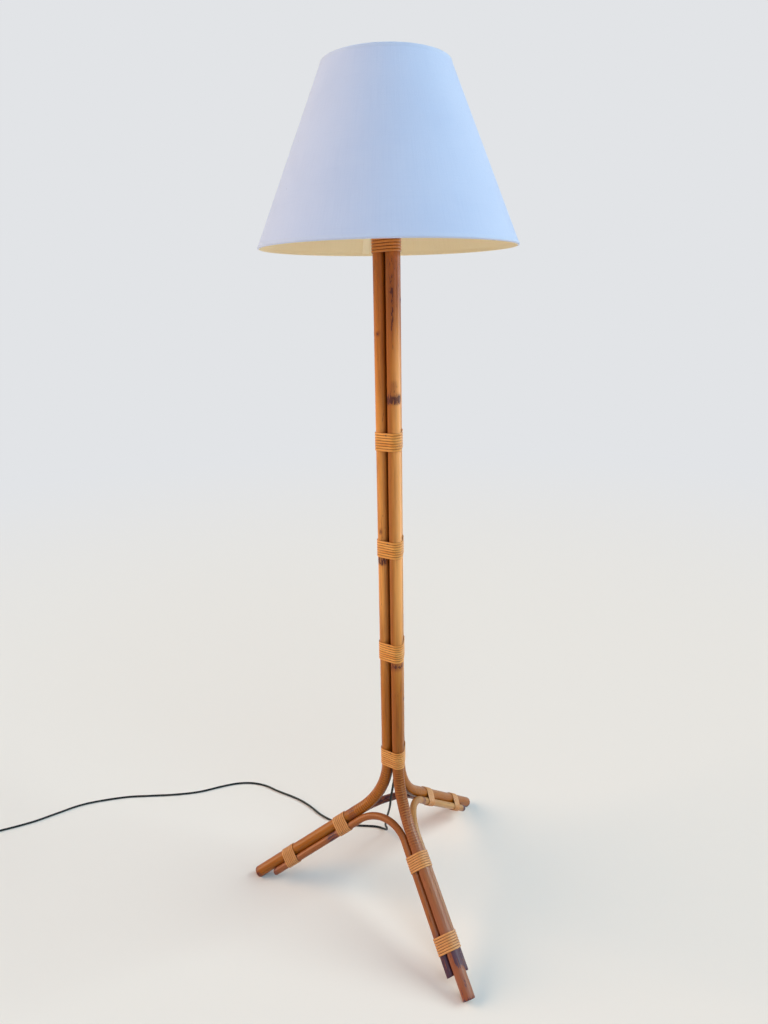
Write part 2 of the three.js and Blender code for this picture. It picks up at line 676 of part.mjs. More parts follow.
/** The lampholder's lower shell, with a boss for the nipple and a bush for the switch. */
function lampholderCap() {
  const base = HOLDER_BASE_HEIGHT;
  const bore = NIPPLE_RADIUS + SEAT_GAP;
  const domeTop = base + HOLDER_BOSS_HEIGHT + HOLDER_DOME_HEIGHT;
  const shell = turnedRing([
    [bore, base],
    [HOLDER_BOSS_RADIUS, base],
    [HOLDER_BOSS_RADIUS, base + HOLDER_BOSS_HEIGHT],
    [(HOLDER_BOSS_RADIUS + HOLDER_RADIUS) / 2, base + HOLDER_BOSS_HEIGHT + HOLDER_DOME_BREAK],
    [HOLDER_RADIUS, domeTop],
    [HOLDER_RADIUS, HOLDER_CAP_TOP],
    [HOLDER_RADIUS - HOLDER_WALL, HOLDER_CAP_TOP],
    [HOLDER_RADIUS - HOLDER_WALL, domeTop],
    [(bore + HOLDER_RADIUS) / 2, base + HOLDER_BOSS_HEIGHT + HOLDER_DOME_HEIGHT / 2],
    [bore, base + HOLDER_BOSS_HEIGHT + HOLDER_WALL],
  ]);
  const inner = HOLDER_RADIUS - HOLDER_WALL;
  const bushEnd = HOLDER_RADIUS + SWITCH_BUSH_LENGTH;
  return solidOf(shell)
    .add(solidOf(switchHole(SWITCH_BUSH_RADIUS, inner + HOLDER_WALL / 2, bushEnd)))
    .subtract(
      solidOf(switchHole(SWITCH_SPINDLE_RADIUS + SEAT_GAP, inner - CUT_OVERRUN, bushEnd + CUT_OVERRUN)),
    );
}

/** The insulating core with the switch in it: a radial hole for the spindle, a sink for the contact. */
function lampholderCore() {
  const radius = HOLDER_RADIUS - HOLDER_WALL - SEAT_GAP;
  const disc = post(radius, CORE_BASE_HEIGHT, CORE_TOP_HEIGHT);
  const sink = new THREE.BoxGeometry(
    2 * (CONTACT_REACH / 2 + SEAT_GAP),
    CONTACT_WIDTH + 2 * SEAT_GAP,
    CORE_CONTACT_SINK + CUT_OVERRUN,
  );
  sink.translate(0, 0, CORE_TOP_HEIGHT - CORE_CONTACT_SINK + (CORE_CONTACT_SINK + CUT_OVERRUN) / 2);
  const spindle = SWITCH_SPINDLE_RADIUS + SEAT_GAP;
  const bottom = radius - SWITCH_SPINDLE_SINK - SEAT_GAP;
  return solidOf(disc)
    .subtract(solidOf(sink))
    .subtract(solidOf(switchHole(spindle, bottom, radius + CUT_OVERRUN)));
}

/** The middle contact: a bent strip that springs up to the bulb's tip. */
function lampholderContact() {
  const half = CONTACT_REACH / 2;
  const base = CONTACT_BASE_HEIGHT;
  const top = base + CONTACT_HEIGHT;
  const outline = new THREE.Shape([
    new THREE.Vector2(-half, base),
    new THREE.Vector2(half, base),
    new THREE.Vector2(half, base + CONTACT_THICKNESS),
    new THREE.Vector2(-half + CONTACT_THICKNESS, base + CONTACT_THICKNESS),
    new THREE.Vector2(-half + CONTACT_THICKNESS, top - 2 * CONTACT_THICKNESS),
    new THREE.Vector2(half, top - CONTACT_THICKNESS),
    new THREE.Vector2(half, top),
    new THREE.Vector2(-half, top - CONTACT_THICKNESS),
  ]);
  const strip = new THREE.ExtrudeGeometry(outline, { depth: CONTACT_WIDTH, bevelEnabled: false });
  strip.translate(0, 0, -CONTACT_WIDTH / 2);
  strip.rotateX(Math.PI / 2);
  return strip;
}

/** The sleeve that holds the bulb's cap and carries the ring nuts. */
function lampholderSleeve() {
  const flangeTop = SLEEVE_BASE_HEIGHT + SLEEVE_FLANGE_HEIGHT;
  return turnedRing([
    [SLEEVE_BORE_RADIUS, SLEEVE_BASE_HEIGHT],
    [HOLDER_RADIUS, SLEEVE_BASE_HEIGHT],
    [HOLDER_RADIUS, flangeTop],
    [SLEEVE_RADIUS, flangeTop],
    [SLEEVE_RADIUS, SLEEVE_TOP_HEIGHT],
    [SLEEVE_BORE_RADIUS, SLEEVE_TOP_HEIGHT],
  ]);
}

/** A fluted or gripped outline: radii that alternate in pairs round a circle. */
function grippedOutline(radius, depth, grips) {
  const corners = [];
  const count = grips * GRIP_CORNERS;
  const step = (2 * Math.PI) / count;
  for (let i = 0; i < count; i++) {
    const reach = i % GRIP_CORNERS < GRIP_CORNERS / 2 ? radius : radius - depth;
    corners.push(new THREE.Vector2(reach * Math.cos(i * step), reach * Math.sin(i * step)));
  }
  return new THREE.Shape(corners);
}

/** A ring nut with a gripped rim. */
function ringNut(name, bottom) {
  const outline = grippedOutline(RING_NUT_RADIUS, RING_NUT_GRIP_DEPTH, RING_NUT_GRIPS);
  outline.holes.push(new THREE.Path(roundOutline(SLEEVE_RADIUS + SEAT_GAP, TURNED_SIDES).getPoints()));
  const geometry = new THREE.ExtrudeGeometry(outline, { depth: RING_NUT_HEIGHT, bevelEnabled: false });
  geometry.translate(0, 0, bottom);
  return meshFrom(name, geometry, FINISHES.bakelite);
}

/** The switch's knob, fluted, on its bush. */
function switchKnob() {
  const outline = grippedOutline(KNOB_RADIUS - KNOB_CHAMFER, KNOB_FLUTE_DEPTH, KNOB_FLUTES);
  const geometry = new THREE.ExtrudeGeometry(outline, {
    depth: KNOB_LENGTH - 2 * KNOB_CHAMFER,
    bevelSize: KNOB_CHAMFER,
    bevelThickness: KNOB_CHAMFER,
    bevelSegments: 1,
  });
  geometry.translate(0, 0, HOLDER_RADIUS + SWITCH_BUSH_LENGTH + SEAT_GAP + KNOB_CHAMFER);
  geometry.rotateY(Math.PI / 2);
  geometry.translate(0, 0, SWITCH_HEIGHT);
  const start = HOLDER_RADIUS + SWITCH_BUSH_LENGTH;
  const bore = switchHole(SWITCH_SPINDLE_RADIUS + SWITCH_CLEARANCE, start, start + SWITCH_SPINDLE_GRIP);
  return solidOf(geometry).subtract(solidOf(bore));
}

/** The spindle from the switch in the core out to the knob. */
function switchSpindle() {
  const start = HOLDER_RADIUS - HOLDER_WALL - SEAT_GAP - SWITCH_SPINDLE_SINK;
  const end = HOLDER_RADIUS + SWITCH_BUSH_LENGTH + SWITCH_SPINDLE_GRIP - SEAT_GAP;
  return switchHole(SWITCH_SPINDLE_RADIUS, start, end);
}

/** The bulb's screw cap with its contact tip. */
function bulbCap() {
  const base = BULB_BASE_HEIGHT;
  return turned([
    [0, base],
    [BULB_TIP_RADIUS, base],
    [BULB_TIP_RADIUS, base + BULB_TIP_HEIGHT],
    [BULB_CAP_RADIUS, base + 2 * BULB_TIP_HEIGHT],
    [BULB_CAP_RADIUS, base + BULB_CAP_HEIGHT],
    [0, base + BULB_CAP_HEIGHT],
  ]);
}

/** The bulb's glass: a neck that swells into a ball. */
function bulbGlass() {
  const base = BULB_BASE_HEIGHT + BULB_CAP_HEIGHT + SEAT_GAP;
  const top = BULB_BASE_HEIGHT + BULB_LENGTH;
  const centre = top - BULB_GLASS_RADIUS;
  const lowest = BULB_NECK_ANGLE;
  const profile = [[0, base], [BULB_NECK_RADIUS, base]];
  for (let i = 0; i <= BULB_STEPS; i++) {
    const angle = lowest + ((Math.PI / 2 - lowest) * i) / BULB_STEPS;
    const radius = i === BULB_STEPS ? 0 : BULB_GLASS_RADIUS * Math.cos(angle);
    profile.push([radius, centre + BULB_GLASS_RADIUS * Math.sin(angle)]);
  }
  return turned(profile);
}

/** A point of the shade's section: a distance up the slant, a depth in from the outside. */
function shadePoint(along, depth) {
  const slopeRadius = (SHADE_TOP_RADIUS - SHADE_BOTTOM_RADIUS) / SHADE_SLANT;
  const slopeHeight = SHADE_HEIGHT / SHADE_SLANT;
  return [
    SHADE_BOTTOM_RADIUS + slopeRadius * along - slopeHeight * depth,
    SHADE_BOTTOM_HEIGHT + slopeHeight * along + slopeRadius * depth,
  ];
}

const WIRE_DEPTH = HEM_WIDTH / 2;
const WIRE_INSET = HEM_THICKNESS + SEAT_GAP + SHADE_WIRE_DIAMETER / 2;
const SKIN_INSET = WIRE_INSET + SHADE_WIRE_DIAMETER / 2 + SEAT_GAP;

/** A cone of the shade between its two wires, from a depth and a thickness. */
function shadeSkin(depth, thickness) {
  return turnedRing(
    [
      shadePoint(SKIN_INSET, depth),
      shadePoint(SHADE_SLANT - SKIN_INSET, depth),
      shadePoint(SHADE_SLANT - SKIN_INSET, depth + thickness),
      shadePoint(SKIN_INSET, depth + thickness),
    ],
    SHADE_SIDES,
  );
}

/** A rolled hem: a channel that wraps a wire and the edges of both skins. */
function shadeHem(edge, towards) {
  const place = (along, depth) => shadePoint(edge + towards * along, depth);
  return turnedRing(
    [
      place(0, 0),
      place(HEM_HEIGHT, 0),
      place(HEM_HEIGHT, HEM_THICKNESS),
      place(HEM_THICKNESS, HEM_THICKNESS),
      place(HEM_THICKNESS, HEM_WIDTH - HEM_THICKNESS),
      place(HEM_HEIGHT, HEM_WIDTH - HEM_THICKNESS),
      place(HEM_HEIGHT, HEM_WIDTH),
      place(0, HEM_WIDTH),
    ],
    SHADE_SIDES,
  );
}

/** A round wire ring in the hem at one edge of the shade. */
function shadeWire(along) {
  const [radius, height] = shadePoint(along, WIRE_DEPTH);
  const profile = [];
  for (let i = 0; i < WIRE_SIDES; i++) {
    const angle = (i * 2 * Math.PI) / WIRE_SIDES;
    const reach = SHADE_WIRE_DIAMETER / 2;
    profile.push([radius + reach * Math.cos(angle), height + reach * Math.sin(angle)]);
  }
  return turnedRing(profile, SHADE_SIDES);
}

/** An arm's stations: in from the top wire, then down to the fitter's rim. */
function armStations(azimuth) {
  const along = SHADE_SLANT - WIRE_INSET;
  const [wireRadius, wireHeight] = shadePoint(along, WIRE_DEPTH);
  const [innerRadius, innerHeight] = shadePoint(along, HEM_WIDTH + ARM_LEVEL_LENGTH);
  const rim = FITTER_OUTER_RADIUS - ARM_DIAMETER / 2;
  const rest = FITTER_HEIGHT + FITTER_THICKNESS / 2;
  return [
    radial(wireRadius, azimuth, wireHeight),
    radial(innerRadius, azimuth, innerHeight),
    radial(innerRadius - ARM_LEVEL_LENGTH / 2, azimuth, innerHeight - ARM_LEVEL_LENGTH),
    radial(rim + ARM_LEVEL_LENGTH / 2, azimuth, rest + ARM_LEVEL_LENGTH),
    radial(rim, azimuth, rest),
  ];
}

function armRods(radius) {
  return LEG_NAMES.map((_, i) => sweptRod(armStations(legAzimuth(i)), radius, WIRE_SIDES));
}

/** The top wire, three arms and the fitter ring, welded into one. */
function shadeSpider() {
  const inner = SLEEVE_RADIUS + FITTER_CLEARANCE;
  const fitterTop = FITTER_HEIGHT + FITTER_THICKNESS;
  const fitter = turnedRing([
    [inner, FITTER_HEIGHT],
    [FITTER_OUTER_RADIUS, FITTER_HEIGHT],
    [FITTER_OUTER_RADIUS, fitterTop],
    [inner, fitterTop],
  ]);
  return unionOf([shadeWire(SHADE_SLANT - WIRE_INSET), fitter, ...armRods(ARM_DIAMETER / 2)]);
}

/** The top hem, notched inside for the three arms. */
function topHem() {
  const cutters = unionOf(armRods(ARM_DIAMETER / 2 + SEAT_GAP));
  return solidOf(shadeHem(SHADE_SLANT, -1)).subtract(cutters);
}

/** The column's cord, from its floor end up to the lampholder's core. */
function columnCord() {
  return post(CORD_RADIUS, CORD_EXIT_HEIGHT, CORE_BASE_HEIGHT - SEAT_GAP, CORD_SIDES);
}

/** The free cord down from the column and along the floor. */
function supplyCord() {
  const points = CORD_ROUTE.map(([x, y, z]) => new THREE.Vector3(x, y, z));
  return new THREE.ExtrudeGeometry(roundOutline(CORD_RADIUS, CORD_SIDES), {
    steps: CORD_STEPS,
    extrudePath: new THREE.CatmullRomCurve3(points, false, "centripetal"),
  });
}

/** The put-away cord: it spirals in on the floor, climbs a layer and spirals out on top. */
function coilRings() {
  const centreline = [];
  const turns = 2 * COIL_LAYER_TURNS;
  const steps = Math.round(turns * COIL_STEPS_PER_TURN);
  const innerRadius = COIL_OUTER_RADIUS - COIL_TURN_SPACING * COIL_LAYER_TURNS;
  for (let i = 0; i <= steps; i++) {
    const fromMiddle = (turns * i) / steps - COIL_LAYER_TURNS;
    const climb = THREE.MathUtils.smoothstep(fromMiddle, -COIL_CLIMB_TURNS / 2, COIL_CLIMB_TURNS / 2);
    const radius = innerRadius + COIL_TURN_SPACING * Math.abs(fromMiddle);
    const angle = Math.PI / 2 + (2 * Math.PI * turns * i) / steps;
    const height = COIL_AXIS_HEIGHT + COIL_TURN_SPACING * climb;
    const place = radial(radius, angle, height);
    centreline.push({ place: place.add(new THREE.Vector3(COIL_CENTRE.x, COIL_CENTRE.y, 0)), angle });
  }
  const lead = (station, sign) => ({
    place: station.place.clone().add(radial(sign * CORD_DIAMETER, station.angle + Math.PI / 2, 0)),
    angle: station.angle,
  });
  const stations = [lead(centreline[0], -1), ...centreline, lead(centreline.at(-1), 1)];
  return stations.map(({ place, angle }) =>
    Array.from({ length: WIRE_SIDES }, (_, k) => {
      const round = (k * 2 * Math.PI) / WIRE_SIDES;
      const out = radial(CORD_RADIUS * Math.cos(round), angle, CORD_RADIUS * Math.sin(round));
      return place.clone().add(out);
    }),
  );
}

/** Where the coil's cord leaves it: the end station, and the height of the top layer. */
function coilExit() {
  const turns = 2 * COIL_LAYER_TURNS;
  const angle = Math.PI / 2 + 2 * Math.PI * turns;
  const place = radial(COIL_OUTER_RADIUS, angle, COIL_AXIS_HEIGHT + COIL_TURN_SPACING);
  place.add(new THREE.Vector3(COIL_CENTRE.x, COIL_CENTRE.y, 0));
  const heading = radial(1, angle + Math.PI / 2, 0);
  return { place: place.addScaledVector(heading, CORD_DIAMETER), heading };
}

/** The tie: a flat band closed round the coil's turns on the side of the lamp. */
function coilTie() {
  const inner = COIL_OUTER_RADIUS - COIL_TURN_SPACING * COIL_LAYER_TURNS - CORD_RADIUS - SEAT_GAP;
  const outer = COIL_OUTER_RADIUS + CORD_RADIUS + SEAT_GAP;
  const bottom = COIL_AXIS_HEIGHT - CORD_RADIUS - SEAT_GAP;
  const top = COIL_AXIS_HEIGHT + COIL_TURN_SPACING + CORD_RADIUS + SEAT_GAP;
  const frame = (grow) => [
    new THREE.Vector2(inner - grow, bottom - grow),
    new THREE.Vector2(outer + grow, bottom - grow),
    new THREE.Vector2(outer + grow, top + grow),
    new THREE.Vector2(inner - grow, top + grow),
  ];
  const band = new THREE.Shape(frame(TIE_THICKNESS));
  band.holes.push(new THREE.Path(frame(0)));
  const geometry = new THREE.ExtrudeGeometry(band, { depth: TIE_WIDTH, bevelEnabled: false });
  geometry.translate(0, 0, -TIE_WIDTH / 2);
  geometry.rotateX(Math.PI / 2);
  geometry.translate(COIL_CENTRE.x, COIL_CENTRE.y, 0);
  return geometry;
}

/** The cord from the coil to the plug, down from the top layer. */
function plugLead() {
  const { place, heading } = coilExit();
  const drop = place.z - PLUG_THICKNESS / 2;
  const stations = [];
  for (let i = 0; i <= PLUG_LEAD_STEPS; i++) {
    const share = i / PLUG_LEAD_STEPS;
    const station = place.clone().addScaledVector(heading, SEAT_GAP + PLUG_LEAD_LENGTH * share);
    station.z -= drop * THREE.MathUtils.smoothstep(share, 0, 1);
    stations.push(station);
  }
  return sweptRod(stations, CORD_RADIUS, CORD_SIDES);
}

/** Turns a geometry that points along +Z to lie on the floor behind the plug's lead. */
function layBehindLead(geometry) {
  const { place, heading } = coilExit();
  const turn = new THREE.Matrix4().makeBasis(
    new THREE.Vector3().crossVectors(new THREE.Vector3(0, 0, 1), heading),
    new THREE.Vector3(0, 0, 1),
    heading,
  );
  geometry.applyMatrix4(turn);
  const start = place.addScaledVector(heading, PLUG_LEAD_LENGTH + 2 * SEAT_GAP);
  geometry.translate(start.x, start.y, PLUG_THICKNESS / 2);
  return geometry;
}

/** The plug: a tapered strain relief that widens into a flat two-pin body. */
function plugBody() {
  const relief = turned(
    [
      [0, 0],
      [PLUG_RELIEF_END_RADIUS, 0],
      [PLUG_RELIEF_ROOT_RADIUS, PLUG_RELIEF_LENGTH],
      [PLUG_RELIEF_ROOT_RADIUS, PLUG_RELIEF_LENGTH + PLUG_EDGE_ROUND + CUT_OVERRUN],
      [0, PLUG_RELIEF_LENGTH + PLUG_EDGE_ROUND + CUT_OVERRUN],
    ],
    SMALL_SIDES,
  );
  const half = PLUG_WIDTH / 2 - PLUG_EDGE_ROUND;
  const back = PLUG_BACK_WIDTH / 2 - PLUG_EDGE_ROUND;
  const start = PLUG_RELIEF_LENGTH + PLUG_EDGE_ROUND;
  const face = PLUG_RELIEF_LENGTH + PLUG_LENGTH - PLUG_EDGE_ROUND;
  const cheek = start + PLUG_LENGTH * PLUG_CHEEK_SHARE;
  const outline = new THREE.Shape([
    new THREE.Vector2(-back, start),
    new THREE.Vector2(back, start),
    new THREE.Vector2(half, cheek),
    new THREE.Vector2(half, face),
    new THREE.Vector2(-half, face),
    new THREE.Vector2(-half, cheek),
  ]);
  const body = new THREE.ExtrudeGeometry(outline, {
    depth: PLUG_THICKNESS - 2 * PLUG_EDGE_ROUND,
    bevelSize: PLUG_EDGE_ROUND,
    bevelThickness: PLUG_EDGE_ROUND,
    bevelSegments: 2,
  });
  body.translate(0, 0, PLUG_EDGE_ROUND - PLUG_THICKNESS / 2);
  body.rotateX(Math.PI / 2);
  const end = PLUG_RELIEF_LENGTH + PLUG_LENGTH;
  const sockets = [-1, 1].map((side) => {
    const radius = PIN_RADIUS + SEAT_GAP;
    const socket = post(radius, end - PIN_ROOT_LENGTH - SEAT_GAP, end + CUT_OVERRUN, SMALL_SIDES);
    return layBehindLead(socket.translate((side * PIN_SPACING) / 2, 0, 0));
  });
  return unionOf([layBehindLead(relief), layBehindLead(body)]).subtract(unionOf(sockets));
}

/** One round pin, seated in the plug's face. */
function plugPin(name, side) {
  const end = PLUG_RELIEF_LENGTH + PLUG_LENGTH;
  const tip = end + PIN_LENGTH;
  const geometry = turned(
    [
      [0, end - PIN_ROOT_LENGTH],
      [PIN_RADIUS, end - PIN_ROOT_LENGTH],
      [PIN_RADIUS, tip - PIN_TIP_ROUND],
      [PIN_RADIUS - PIN_TIP_ROUND, tip],
      [0, tip],
    ],
    SMALL_SIDES,
  );
  geometry.translate((side * PIN_SPACING) / 2, 0, 0);
  return meshFrom(name, layBehindLead(geometry), FINISHES.steel);
}

/** The cane frame: poles, braces and bindings. */
function caneFrame() {
  const frame = new THREE.Group();
  LEG_NAMES.forEach((leg, i) => {
    const azimuth = legAzimuth(i);
    const next = LEG_NAMES[(i + 1) % LEG_COUNT];
    frame.add(pole(`pole_${leg}`, azimuth));
    frame.add(brace(`brace_${leg}_${next}`, azimuth));
    for (const [place, share] of Object.entries(LEG_BINDING_SHARES)) {
      const radius = THREE.MathUtils.lerp(LEG_START_RADIUS, BRACE_END_RADIUS, share);
      frame.add(legBinding(`leg_binding_${leg}_${place}`, azimuth, radius));
    }
  });
  COLUMN_BINDING_HEIGHTS.forEach((height, i) => {
    frame.add(columnBinding(`column_binding_${i + 1}`, height, COLUMN_BINDING_TURNS[i]));
  });
  return frame;
}

/** The cap on the poles with everything that stands on it but the shade. */
function lampholder() {
  const holder = new THREE.Group();
  holder.add(meshOf("column_cap", columnCap(), FINISHES.wood));
  LEG_NAMES.forEach((leg, i) => holder.add(capScrew(`cap_screw_${leg}`, legAzimuth(i))));
  holder.add(nippleTube());
  holder.add(nippleNut("nipple_nut_lower", LOWER_NIPPLE_NUT_HEIGHT));
  holder.add(nippleNut("nipple_nut_upper", UPPER_NUT_HEIGHT));
  holder.add(meshOf("lampholder_cap", lampholderCap(), FINISHES.bakelite));
  holder.add(meshOf("lampholder_core", lampholderCore(), FINISHES.ceramic));
  holder.add(meshFrom("lampholder_contact", lampholderContact(), FINISHES.brass));
  holder.add(meshFrom("lampholder_sleeve", lampholderSleeve(), FINISHES.bakelite));
  holder.add(ringNut("ring_nut_lower", LOWER_NUT_HEIGHT));
  holder.add(ringNut("ring_nut_upper", UPPER_RING_NUT_HEIGHT));
  holder.add(meshOf("switch_knob", switchKnob(), FINISHES.bakelite));
  holder.add(meshFrom("switch_spindle", switchSpindle(), FINISHES.steel));
  holder.add(meshFrom("bulb_cap", bulbCap(), FINISHES.steel));
  holder.add(meshFrom("bulb_glass", bulbGlass(), FINISHES.glass));
  holder.add(meshFrom("column_cord", columnCord(), FINISHES.cord));
  return holder;
}

/** The shade: cover, lining, hems and wires. */
function shade() {
  const group = new THREE.Group();
  const coverDepth = HEM_THICKNESS + SEAT_GAP;
  const liningDepth = coverDepth + COVER_THICKNESS + SEAT_GAP;
  group.add(meshFrom("shade_cover", shadeSkin(coverDepth, COVER_THICKNESS), FINISHES.fabric));
  group.add(meshFrom("shade_lining", shadeSkin(liningDepth, LINING_THICKNESS), FINISHES.lining));
  group.add(meshFrom("shade_hem_bottom", shadeHem(0, 1), FINISHES.fabric));
  group.add(meshOf("shade_hem_top", topHem(), FINISHES.fabric));
  group.add(meshFrom("shade_wire_bottom", shadeWire(WIRE_INSET), FINISHES.wire));
  group.add(meshOf("shade_spider", shadeSpider(), FINISHES.wire));
  return group;
}

/** The free cord, its put-away coil and the plug. */
function cordSet() {
  const group = new THREE.Group();
  const rings = coilRings();
  reportGap("cord_coil", rings, COIL_STEPS_PER_TURN);
  group.add(meshFrom("supply_cord", supplyCord(), FINISHES.cord));
  group.add(meshFrom("cord_coil", skinnedTube(rings), FINISHES.cord));
  group.add(meshFrom("coil_tie", coilTie(), FINISHES.cord));
  group.add(meshFrom("plug_lead", plugLead(), FINISHES.cord));
  group.add(meshOf("plug_body", plugBody(), FINISHES.bakelite));
  group.add(plugPin("plug_pin_left", -1));
  group.add(plugPin("plug_pin_right", 1));
  return group;
}

const lamp = new THREE.Group();
lamp.add(caneFrame(), lampholder(), shade(), cordSet());
lamp.position.y = COLUMN_AXIS_Y;

export default lamp;
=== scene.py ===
"""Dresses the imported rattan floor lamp: cane, peel, turned parts, fabric shade and flex.

Lengths are in metres. The floor is Z = 0, the front leg points along -Y, and the column stands
at Plan.axis_y. Each class builds one sub-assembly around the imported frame.
"""

import logging
import math
from dataclasses import dataclass, field
from enum import Enum
from typing import Any, Callable, Iterable, Sequence

import bmesh
import bpy
from mathutils import Matrix, Vector


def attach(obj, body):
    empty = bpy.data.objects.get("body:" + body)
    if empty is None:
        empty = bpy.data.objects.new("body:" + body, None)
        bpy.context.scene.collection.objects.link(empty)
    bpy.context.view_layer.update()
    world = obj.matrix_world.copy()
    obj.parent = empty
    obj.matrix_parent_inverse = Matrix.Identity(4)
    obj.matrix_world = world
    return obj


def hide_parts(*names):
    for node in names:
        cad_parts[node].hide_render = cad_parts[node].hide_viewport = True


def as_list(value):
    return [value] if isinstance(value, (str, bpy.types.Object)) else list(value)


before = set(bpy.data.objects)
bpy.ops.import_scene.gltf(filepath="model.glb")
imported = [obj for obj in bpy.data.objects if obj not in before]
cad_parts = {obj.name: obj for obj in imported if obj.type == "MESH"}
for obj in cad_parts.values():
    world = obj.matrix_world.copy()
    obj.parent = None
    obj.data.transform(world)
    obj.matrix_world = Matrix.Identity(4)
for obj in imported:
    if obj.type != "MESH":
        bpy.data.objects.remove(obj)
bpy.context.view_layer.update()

RUN = "cane_run"
STAIN = "stain"
RIDGE = "ridge"
LAP = "lap"
WELD = 1e-6

logging.basicConfig(level=logging.INFO, format="%(levelname)s %(message)s")
log = logging.getLogger("rattan_lamp")

Colour = tuple[float, float, float]
Point = tuple[float, float, float]
Profile = Sequence[tuple[float, float]]


def written(red: int, green: int, blue: int) -> Colour:
    """A colour given in screen levels of 0 to 255, as linear values."""

    def linear(level: int) -> float:
        """One channel's linear value."""
        share = level / 255
        return share / 12.92 if share <= 0.04045 else ((share + 0.055) / 1.055) ** 2.4

    return linear(red), linear(green), linear(blue)


def smooth(low: float, high: float, value: float) -> float:
    """A smooth step from 0 at low to 1 at high."""
    share = min(max((value - low) / (high - low), 0.0), 1.0)
    return share * share * (3 - 2 * share)


def framed(across: Vector, outward: Vector, ahead: Vector, centre: Vector) -> Matrix:
    """A matrix from its three directions and its place."""
    return Matrix([(*row,) for row in zip(across, outward, ahead, centre)] + [(0, 0, 0, 1)])


def everything(mesh: bmesh.types.BMesh) -> list[Any]:
    """All vertices, edges and faces of a bmesh."""
    return mesh.verts[:] + mesh.edges[:] + mesh.faces[:]


def turn_near(spot: Vector, middle: float) -> float:
    """The azimuth of a point, within half a turn of a middle one."""
    return (math.atan2(spot.y, spot.x) - middle + math.pi) % math.tau - math.pi + middle


class Body(str, Enum):
    """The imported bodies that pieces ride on."""

    STAND = "stand"
    SHADE = "shade"
    SWITCH = "switch"


# Shader maths


class Field:
    """A node's output that Python's operators work on.

    Args:
        tree: The node tree that the output belongs to.
        socket: The output.
    """

    def __init__(self, tree: bpy.types.NodeTree, socket: bpy.types.NodeSocket) -> None:
        """Keeps the tree and the output."""
        self.tree = tree
        self.socket = socket

    def _math(self, operation: str, first: Any, second: Any = None) -> "Field":
        """Adds a Math node.

        Args:
            operation: The Math node's operation.
            first: A Field or number.
            second: A Field or number, if the operation takes one.

        Returns:
            The node's value.
        """
        node = self.tree.nodes.new("ShaderNodeMath")
        node.operation = operation
        for slot, value in enumerate((first, second)):
            if isinstance(value, Field):
                self.tree.links.new(value.socket, node.inputs[slot])
            elif value is not None:
                node.inputs[slot].default_value = value
        return Field(self.tree, node.outputs[0])

    def __add__(self, other: Any) -> "Field":
        """self + other."""
        return self._math("ADD", self, other)

    __radd__ = __add__

    def __sub__(self, other: Any) -> "Field":
        """self - other."""
        return self._math("SUBTRACT", self, other)

    def __rsub__(self, other: Any) -> "Field":
        """other - self."""
        return self._math("SUBTRACT", other, self)

    def __mul__(self, other: Any) -> "Field":
        """self * other."""
        return self._math("MULTIPLY", self, other)

    __rmul__ = __mul__

    def __truediv__(self, other: Any) -> "Field":
        """self / other."""
        return self._math("DIVIDE", self, other)

    def __abs__(self) -> "Field":
        """The distance from zero."""
        return self._math("ABSOLUTE", self)

    def most(self, other: Any) -> "Field":
        """The larger of two values."""
        return self._math("MAXIMUM", self, other)

    def sine(self) -> "Field":
        """The sine of radians."""
        return self._math("SINE", self)

    def step(self, low: float, high: float) -> "Field":
        """A smooth step from 0 at low to 1 at high."""
        node = self.tree.nodes.new("ShaderNodeMapRange")
        node.interpolation_type = "SMOOTHSTEP"
        self.tree.links.new(self.socket, node.inputs["Value"])
        node.inputs["From Min"].default_value = low
        node.inputs["From Max"].default_value = high
        return Field(self.tree, node.outputs["Result"])


